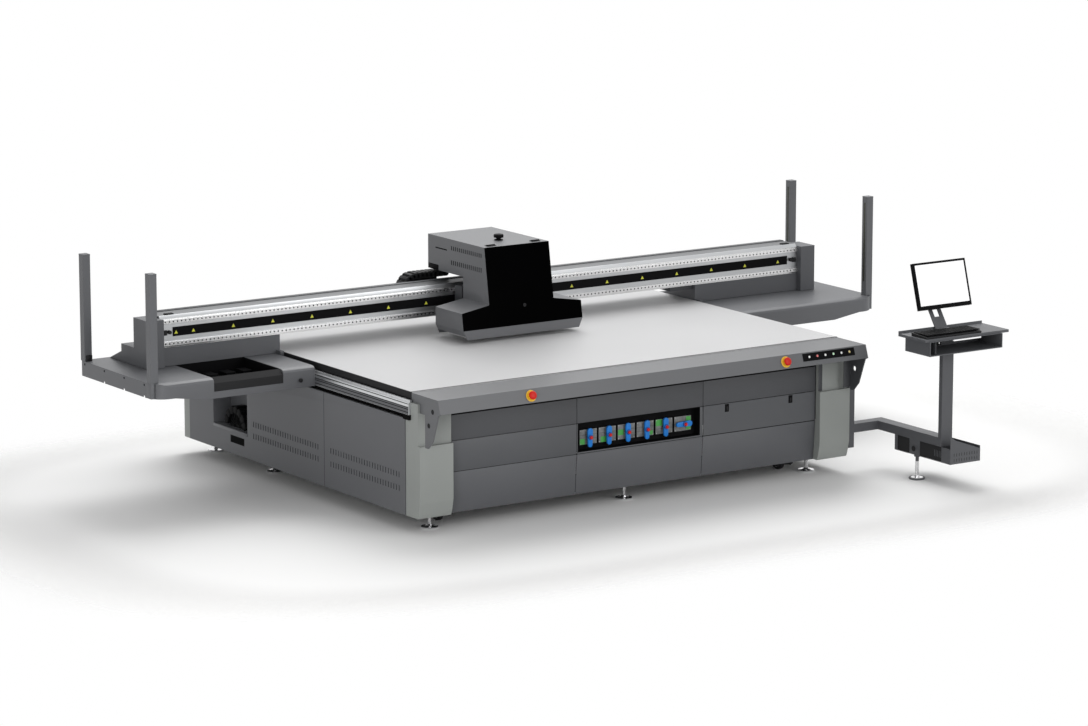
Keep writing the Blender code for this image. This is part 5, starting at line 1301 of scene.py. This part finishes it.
# The lower row's white glow is painted light showing through the holes.
finish_piece("wing_painted_light_dots", painted_light_dots, SCREEN_AND_PAINTED_GLOW, "cabinet")
knob = [(0, -0.001), (0.0070, -0.001), (0.0070, 0.0080), (0.0135, 0.0100), (0.0140, 0.0170), (0.0120, 0.0200),
        (0, 0.0204)]
turned_piece("wing_front_knob", knob, at(-0.127, 1.2505, 0.818), (0, -1, 0), 28, BLACK, "cabinet")

# %% [markdown]
# ## Capping tray
#
# The heads park over this tray on the left wing, where pads seal them. It is black, with a duller strip along
# its front lip. The strip's faces are picked by the way they look, so no second object is needed.

# %% Capping tray
tray = dress("capping_tray", DEEP_BLACK, 0.0010)
tray_low, tray_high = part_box("capping_tray")
tint(tray, RUBBER, lambda face: face.normal.y < -0.3 and face.normal.z > 0.2)
tint(tray, RUBBER, lambda face: face.normal.y < -0.9 and face.center.y < tray_low.y + 0.002)
print("capping tray", [round(v, 3) for v in tray_low], [round(v, 3) for v in tray_high])

# %% [markdown]
# ## Light-curtain posts
#
# The four posts carry a light curtain that stops the gantry when a hand comes near. Each is a square tube
# with a cap and a dark window along its inner face. Cap and window are boxes set on the tube's own box.

# %% Light-curtain posts
for node in ("post_front_left", "post_rear_left", "post_front_right", "post_rear_right"):
    dress(node, WING_COAT, 0.0022)
    low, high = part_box(node)
    box_piece(node + "_cap", (low.x - 0.0004, low.y - 0.0004, high.z - 0.012),
              (high.x + 0.0004, high.y + 0.0004, high.z - 0.0002), 0.0022, WING_COAT, "cabinet")
    lens = bmesh.new()
    inner, out = (high.x, 1) if "left" in node else (low.x, -1)
    mid = (low.y + high.y) / 2
    add_mark(lens, inner, out, (mid - 0.0070, mid + 0.0070), (low.z + 0.10, high.z - 0.045), 0.0004, 0.0012, 0.0005)
    finish_piece(node + "_lens", lens, OLIVE, "cabinet")

# %% [markdown]
# ## Blocks at the posts
#
# The front posts stand on blocks, and a plug sits at the foot of the left rear one. They are boxes measured
# from each post and set in a little at its sides, so that no two faces lie in one plane.

# %% Corner blocks under the front posts, and a plug on the rear one
blocks = bmesh.new()
for node in ("post_front_left", "post_front_right"):
    low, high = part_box(node)
    add_box(blocks, (low.x + 0.0003, low.y + 0.0003, 0.8005), (high.x - 0.0003, high.y + 0.030, 0.9005), 0.0020)
finish_piece("post_corner_blocks", blocks, WING_COAT, "cabinet")
low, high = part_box("post_rear_left")
box_piece("post_plug", (low.x + 0.010, low.y - 0.012, 0.9003), (high.x - 0.004, low.y + 0.001, 0.9400), 0.0015,
          BLACK, "cabinet")
print("wings done")

# %% [markdown]
# ## Gantry
#
# The beam is an extrusion with two guide rails along its front. Top, trough and rails have finishes of their
# own, picked by the place of each face. The top's dark grey is painted shade on the same aluminium. The bolts
# of a real guide rail are sunk in it, so each is a dark dot rather than a head.

# %% Beam, rails and bolts
beam = dress("gantry_beam", ALUMINIUM, 0.0012)
recolour("motor_strip", DEEP_BLACK)
low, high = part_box("gantry_beam")
# The top faces take the darker aluminium copy, which is painted shade.
tint(beam, BEAM_TOP_PAINTED_SHADE, lambda face: face.normal.z > 0.9 and face.center.z > high.z - 0.02)
tint(beam, STAND_COAT, lambda face: face.center.y > from_front(1.965))
tint(beam, RAIL_STEEL, lambda face: face.center.y < low.y + 0.0125 and face.area < 0.2)
beam_face = low.y
beam_start, beam_end = low.x, high.x
GUIDE_HEIGHTS = (1.049, 1.193)
BOLT_PITCH = 0.030
BOLT_FIRST = 0.030
holes = bmesh.new()
for z in GUIDE_HEIGHTS:
    for number in range(int((beam_end - beam_start - 0.05) / BOLT_PITCH) + 1):
        spot = Vector((beam_start + BOLT_FIRST + BOLT_PITCH * number, beam_face, z))
        add_rod(holes, spot + Vector((0, 0.0002, 0)), spot + Vector((0, -0.0002, 0)), 0.0052, 12)
finish_piece("beam_rail_bolts", holes, SHADOW, "gantry")

# %% [markdown]
# ## Grooves and cable cover
#
# The die of an extrusion leaves long grooves for nuts. They run the whole length at one height, so each is a
# single thin box. A flat strip along the back of the beam's top covers the cables.

# %% Grooves of the extrusion
GROOVES = ((1.0650, 1.0668), (1.0830, 1.0848), (1.1630, 1.1648), (1.1740, 1.1758))
shape = bmesh.new()
skin = beam_face + 0.012
for z0, z1 in GROOVES:
    add_box(shape, (beam_start + 0.001, skin - 0.0004, z0), (beam_end - 0.001, skin + 0.0004, z1))
finish_piece("beam_grooves", shape, STEEL, "gantry")
box_piece("beam_cable_cover", (beam_start + 0.002, from_front(1.9150), 1.2325),
          (beam_end - 0.002, from_front(1.9580), 1.2370), 0.001, FRAME_COAT, "gantry")

# %% [markdown]
# ## Warning triangles
#
# Yellow triangles stand along the cover of the linear motor. A sticker could be an image with a cut-out, but
# three corners need no image: a black prism with a smaller yellow one in front makes the border.

# %% Blank triangles on the motor cover
TRIANGLES = (-0.754, -0.626, -0.329, -0.032, 0.266, 0.562, 0.858, 1.154, 2.334, 2.628, 2.924, 3.217, 3.514,
             3.805, 4.094)
strip_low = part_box("motor_strip")[0]
TRIANGLE_HEIGHT = 1.118
signs = bmesh.new()
borders = bmesh.new()
for x in TRIANGLES:
    centre = Vector((from_left(x), strip_low.y, TRIANGLE_HEIGHT))
    for shape, radius, depth in ((borders, 0.0185, 0.0004), (signs, 0.0145, 0.0006)):
        corners = [(centre.x + radius * math.cos(math.radians(a)), centre.z + radius * math.sin(math.radians(a)))
                   for a in (90, 210, 330)]
        add_prism(shape, corners, "y", centre.y - depth, centre.y + 0.0001)
finish_piece("motor_cover_signs", signs, SIGN, "gantry")
finish_piece("motor_cover_sign_borders", borders, BLACK, "gantry")

# %% [markdown]
# ## End covers and bumpers
#
# A folded cover closes each end of the beam. Rubber bumpers stop the carriage there, and small blocks and
# pegs sit on the beam and under it. They are all rubber on one body, so they share one mesh.

# %% End covers, bumpers and pegs
bumpers = bmesh.new()
for side in ("left", "right"):
    dress("gantry_end_" + side, SLATE, 0.0030, 3)
for x, out in ((beam_start + 0.060, 1), (beam_end - 0.060, -1)):
    spot = Vector((x, strip_low.y + 0.002, 1.125))
    add_rod(bumpers, spot, spot + Vector((0, -0.020, 0)), 0.0125, 20, 0.0015)
    spot = spot - Vector((out * 0.030, 0, 0))
    add_box(bumpers, spot + Vector((-0.011, -0.014, -0.018)), spot + Vector((0.011, 0.002, 0.014)), 0.0015)
for x in (beam_start + 0.082, beam_end - 0.082):
    spot = Vector((x, from_front(1.800), high.z - 0.001))
    add_box(bumpers, spot - Vector((0.030, 0.016, 0)), spot + Vector((0.030, 0.016, 0.009)), 0.0015)
for x in (0.224, 1.009, 2.578):
    spot = at(x, 0, 1.0245)
    spot.y = (low.y + high.y) / 2 - 0.05
    add_rod(bumpers, spot, spot - Vector((0, 0, 0.006)), 0.010, 20, 0.001)
finish_piece("gantry_bumpers", bumpers, RUBBER, "gantry")
box_piece("gantry_shoe_cover", at(3.185, 1.790, 0.990), at(3.430, 1.950, 1.0245), 0.002, FRAME_COAT, "gantry")
print("gantry done")

# %% [markdown]
# ## Carriage
#
# The housing is one folded cover with a glossy front lid. The lid has its own body, because it opens, and a
# small lock sits on it. All other fittings ride with the print unit, which the gantry carries and lifts.

# %% Housing and lid
dress("carriage_housing", HOUSING_COAT, 0.0040, 3)
dress("carriage_front_cover", GLOSS, 0.0015)
dress("head_block", STEEL, 0.0010)
dress("carriage_slider", FRAME_COAT, 0.0015)
hood_low, hood_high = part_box("carriage_housing")
lid_low, lid_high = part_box("carriage_front_cover")
print("housing", [round(v, 3) for v in hood_low], [round(v, 3) for v in hood_high])
print("lid", [round(v, 3) for v in lid_low], [round(v, 3) for v in lid_high])

# %% [markdown]
# ## Lock on the lid
#
# A small round cam lock holds the lid's lower edge. It is one turned profile set square to the leaning lid.
# It takes the lid's own body, so that it swings up with the lid and isn't left hanging.

# %% Lock on the lid
lock = [(0, -0.001), (0.0125, -0.001), (0.0120, 0.0020), (0.0060, 0.0022), (0.0056, 0.0010), (0, 0.0010)]
outward = Vector((0, -0.988, 0.154)).normalized()
turned_piece("lid_lock", lock, at(1.634, 1.2800, 1.131), outward, 28, RUBBER, home["carriage_front_cover"])

# %% [markdown]
# ## Louvres on the flanks
#
# The lamps and the electronics blow their air out here. These louvres are smaller than the cabinet's and
# closer together, so they have a simpler hood, a plain triangle that stands out over each slit.

# %% Flank louvres
CARRIAGE_X = 1.613
HOUSING_HALF = 0.256
FLANK_ROWS = ((1.4735, 0.028), (1.3755, 0.031))
FLANK_PITCH = 0.0245
flank_left = from_left(CARRIAGE_X - HOUSING_HALF)
flank_right = from_left(CARRIAGE_X + HOUSING_HALF)
hoods = bmesh.new()
slits = bmesh.new()
for face, out in ((flank_left, -1), (flank_right, 1)):
    for z, height in FLANK_ROWS:
        for number in range(16):
            y = from_front(1.386 + FLANK_PITCH * number)
            add_mark(slits, face, out, (y - 0.0035, y + 0.0035), (z - height / 2, z + height / 2), 0.0003, 0.0004)
            outline = [(face, y + 0.0035), (face + out * 0.0025, y + 0.0045), (face, y + 0.0105)]
            if out < 0:
                outline.reverse()
            add_prism(hoods, outline, "z", z - height / 2, z + height / 2)
    add_mark(slits, face, out, (from_front(1.811), from_front(1.955)), (1.449, 1.457), 0.0003, 0.0005)
finish_piece("flank_slits", slits, SHADOW, "print_unit")
finish_piece("flank_hoods", hoods, HOUSING_COAT, "print_unit")

# %% [markdown]
# ## Fittings on the housing
#
# A black knob stands on the top, two hinges carry the lid, and a bundle of cables leaves at the back. The
# knob is one turned profile. A hinge is a leaf with its pin's barrel along the edge.

# %% Top knob and lid hinges
knob = [(0, -0.001), (0.0300, -0.001), (0.0300, 0.004), (0.0170, 0.006), (0.0170, 0.014), (0.0330, 0.018),
        (0.0340, 0.032), (0.0310, 0.038), (0.0240, 0.040), (0, 0.0405)]
turned_piece("carriage_knob", knob, at(CARRIAGE_X, 1.566, 1.533), (0, 0, 1), 40, DEEP_BLACK, "print_unit")
shape = bmesh.new()
for x in (1.436, 1.790):
    centre = at(x, 1.392, 1.533)
    add_box(shape, centre + Vector((-0.032, -0.022, -0.001)), centre + Vector((0.032, 0.024, 0.0035)), 0.0015)
    add_rod(shape, centre + Vector((-0.032, 0, 0.004)), centre + Vector((0.032, 0, 0.004)), 0.0062, 16)
finish_piece("lid_hinges", shape, DEEP_BLACK, "print_unit")

# %% Cable bundle and rear brackets
shape = bmesh.new()
add_box(shape, at(1.150, 2.002, 1.204), at(1.400, 2.068, 1.246), 0.010)
for face, out in ((flank_left, -1), (flank_right, 1)):
    add_mark(shape, face, out, (from_front(1.918), from_front(2.046)), (1.3005, 1.3370), 0.0004, 0.0012, 0.0005)
finish_piece("rear_brackets", shape, DEEP_BLACK, "print_unit")
print("carriage done")

# %% [markdown]
# ## Operator stand
#
# The stand's frame, desk and computer tray are folded and welded steel, so their copies get small edge radii.
# They are powder coated in two greys.

# %% Frame, desk and tray
stand = dress("stand_frame", STAND_COAT, 0.0025)
dress("desk", SLATE, 0.0020)
dress("pc_tray", STAND_COAT, 0.0015)
dress("monitor_neck", STAND_COAT, 0.0010)
desk_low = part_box("desk")[0]
print("desk starts at", [round(v, 3) for v in desk_low])

# %% [markdown]
# ## Under the desk
#
# A pale bar, a small black box with a lens and a divider show under the desk's plate. The bar glows faintly
# in the screen's finish, which is painted light. They are plain boxes measured from the desk's corner and the
# plate's underside, so they stay in the bin if the desk moves.

# %% Fittings under the desk's plate
front = desk_low.y + 0.018
plate_under = 1.0121
bar_left, bar_right = desk_low.x + 0.234, desk_low.x + 0.462
# The bar's glow is painted light.
box_piece("drawer_bar", (bar_left, front - 0.008, plate_under - 0.0120), (bar_right, front + 0.006, plate_under),
          0.0010, SCREEN_AND_PAINTED_GLOW, "cabinet")
box_piece("camera_box", (desk_low.x + 0.098, front, 0.984), (desk_low.x + 0.134, front + 0.040, plate_under),
          0.0020, DEEP_BLACK, "cabinet")
shape = bmesh.new()
spot = Vector((desk_low.x + 0.115, front + 0.0005, 1.000))
add_rod(shape, spot, spot - Vector((0, 0.0025, 0)), 0.0050, 16, 0.0006)
finish_piece("camera_lens", shape, POWER_LAMP, "cabinet")
box_piece("drawer_divider", (desk_low.x + 0.0795, front - 0.010, 0.9235),
          (desk_low.x + 0.0825, front + 0.200, plate_under), 0, SLATE, "cabinet")

# %% [markdown]
# ## The stand's foot
#
# The arm ends on a smaller levelling foot. Its place isn't written down: it is the middle of the lowest
# corners of the stand. The pad and thread of the cabinet's feet serve again, the pad at a smaller radius.

# %% Chrome foot under the arm
lowest = min(corner.co.z for corner in stand.data.vertices)
sole = [corner.co for corner in stand.data.vertices if corner.co.z < lowest + 0.001]
foot = sum(sole, Vector()) / len(sole)
foot.z = 0
shape = bmesh.new()
small = [(radius * 0.76 if radius > 0.02 else radius, height) for radius, height in pad]
add_lathe(shape, small, foot, (0, 0, 1), 40)
add_lathe(shape, thread, foot, (0, 0, 1), 20)
finish_piece("stand_foot", shape, CHROME, "cabinet", 20)
print("stand foot at", [round(v, 3) for v in foot])

# %% [markdown]
# ## Vents in the computer's tray
#
# The tray that holds the computer is vented with slots and has pressed ribs inside. Both repeat at an even
# pitch, so a loop lays each as a thin box on the sheet.

# %% Vents and ribs of the computer's tray
VENT_PITCH = 0.0215
RIB_PITCH = 0.0165
low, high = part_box("pc_tray")
shape = bmesh.new()
spot = Vector((low.x + 0.0006, from_front(-0.382), 0.207))
add_rod(shape, spot, spot - Vector((0.0010, 0, 0)), 0.0190, 24)
add_box(shape, (low.x + 0.0040, low.y + 0.020, low.z + 0.005), (low.x + 0.0055, high.y - 0.020, 0.268))
for number in range(10):
    x = low.x + 0.030 + VENT_PITCH * number
    for z in (0.192, 0.228):
        add_box(shape, (x, low.y - 0.0004, z - 0.0105), (x + 0.0035, low.y + 0.0004, z + 0.0105))
finish_piece("tray_vents", shape, RUBBER, "cabinet")
shape = bmesh.new()
for start, count in ((0.070, 7), (0.330, 7)):
    for number in range(count):
        y = low.y + start + RIB_PITCH * number
        add_box(shape, (low.x + 0.0030, y, 0.196), (low.x + 0.0045, y + 0.0035, 0.240))
finish_piece("tray_ribs", shape, SLATE, "cabinet")

# %% [markdown]
# ## Keyboard
#
# The keyboard is a slab with five rows of keys, the long ones where a space bar and an enter key lie. An
# array modifier makes only equal keys, so a loop walks each row and lets a long key take several places.

# %% Keyboard
dress("keyboard", BLACK, 0.0030)
low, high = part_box("keyboard")
keys = bmesh.new()
KEY_GAP = 0.0012
rows = 5
across = 19
cell_x = (high.x - low.x - 0.016) / across
cell_y = (high.y - low.y - 0.020) / rows
for row in range(rows):
    column = 0
    while column < across:
        wide = 6 if row == 0 and column == 4 else 2 if (row, column) in ((1, 13), (2, 12), (3, 13)) else 1
        x0 = low.x + 0.008 + cell_x * column
        y0 = low.y + 0.008 + cell_y * row
        add_box(keys, (x0 + KEY_GAP, y0 + KEY_GAP, high.z - 0.003),
                (x0 + cell_x * wide - KEY_GAP, y0 + cell_y - KEY_GAP, high.z + 0.0035), 0.0012)
        column += wide
finish_piece("keys", keys, DEEP_BLACK, "cabinet")
print("stand done")

# %% [markdown]
# ## Screen
#
# The screen is blank and faintly lit. It leans back, so its pane is built flat, where it is easy to measure,
# and a matrix of three directions turns it into place. It tilts with the screen's body.

# %% Screen
dress("monitor", DEEP_BLACK, 0.0030)
low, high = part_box("monitor")
SCREEN_LEAN = math.radians(16.0)
up = Vector((0, math.sin(SCREEN_LEAN), math.cos(SCREEN_LEAN)))
out = Vector((0, -math.cos(SCREEN_LEAN), math.sin(SCREEN_LEAN)))
corner = Vector((low.x, low.y, 1.165))
turned = Matrix((Vector((1, 0, 0)), up, out)).transposed()
shape = bmesh.new()
add_box(shape, (0.014, 0.027, -0.0006), (high.x - low.x - 0.016, 0.300, 0.0006), 0.0003)
bmesh.ops.transform(shape, matrix=Matrix.Translation(corner) @ turned.to_4x4(), verts=shape.verts)
tilting = home["monitor"]
finish_piece("screen_pane", shape, SCREEN_AND_PAINTED_GLOW, tilting)
print("screen rides on", tilting)

# %% [markdown]
# ## Floor
#
# A pale floor lies under the machine. Past the machine's shadow it fades away into the white surround, so no
# horizon shows. The fade is a mask worked out from the distance to the middle of the floor plan.

# %% Stage
FLOOR_SPANS = (3.25, 2.10)
floor_white = Finish("floor_white", (0.93, 0.93, 0.925), 0.85)
along, across = (axis * (1 / span) for axis, span in zip(floor_white.plan(), FLOOR_SPANS))
reach = along.math("POWER", along * along * along * along + across * across * across * across, 0.25)
fade = floor_white.node("ShaderNodeMapRange", {"interpolation_type": "SMOOTHSTEP"},
                        {"Value": reach, "From Min": 1.02, "From Max": 1.45, "To Min": 1.0, "To Max": 0.0})
floor_white.set("Alpha", fade)
shape = bmesh.new()
add_box(shape, (-60, -60, -0.02), (60, 60, 0))
floor = bpy.data.objects.new("floor", bpy.data.meshes.new("floor"))
shape.to_mesh(floor.data)
shape.free()
floor.data.materials.append(floor_white.material)
bpy.context.scene.collection.objects.link(floor)
print("floor laid")
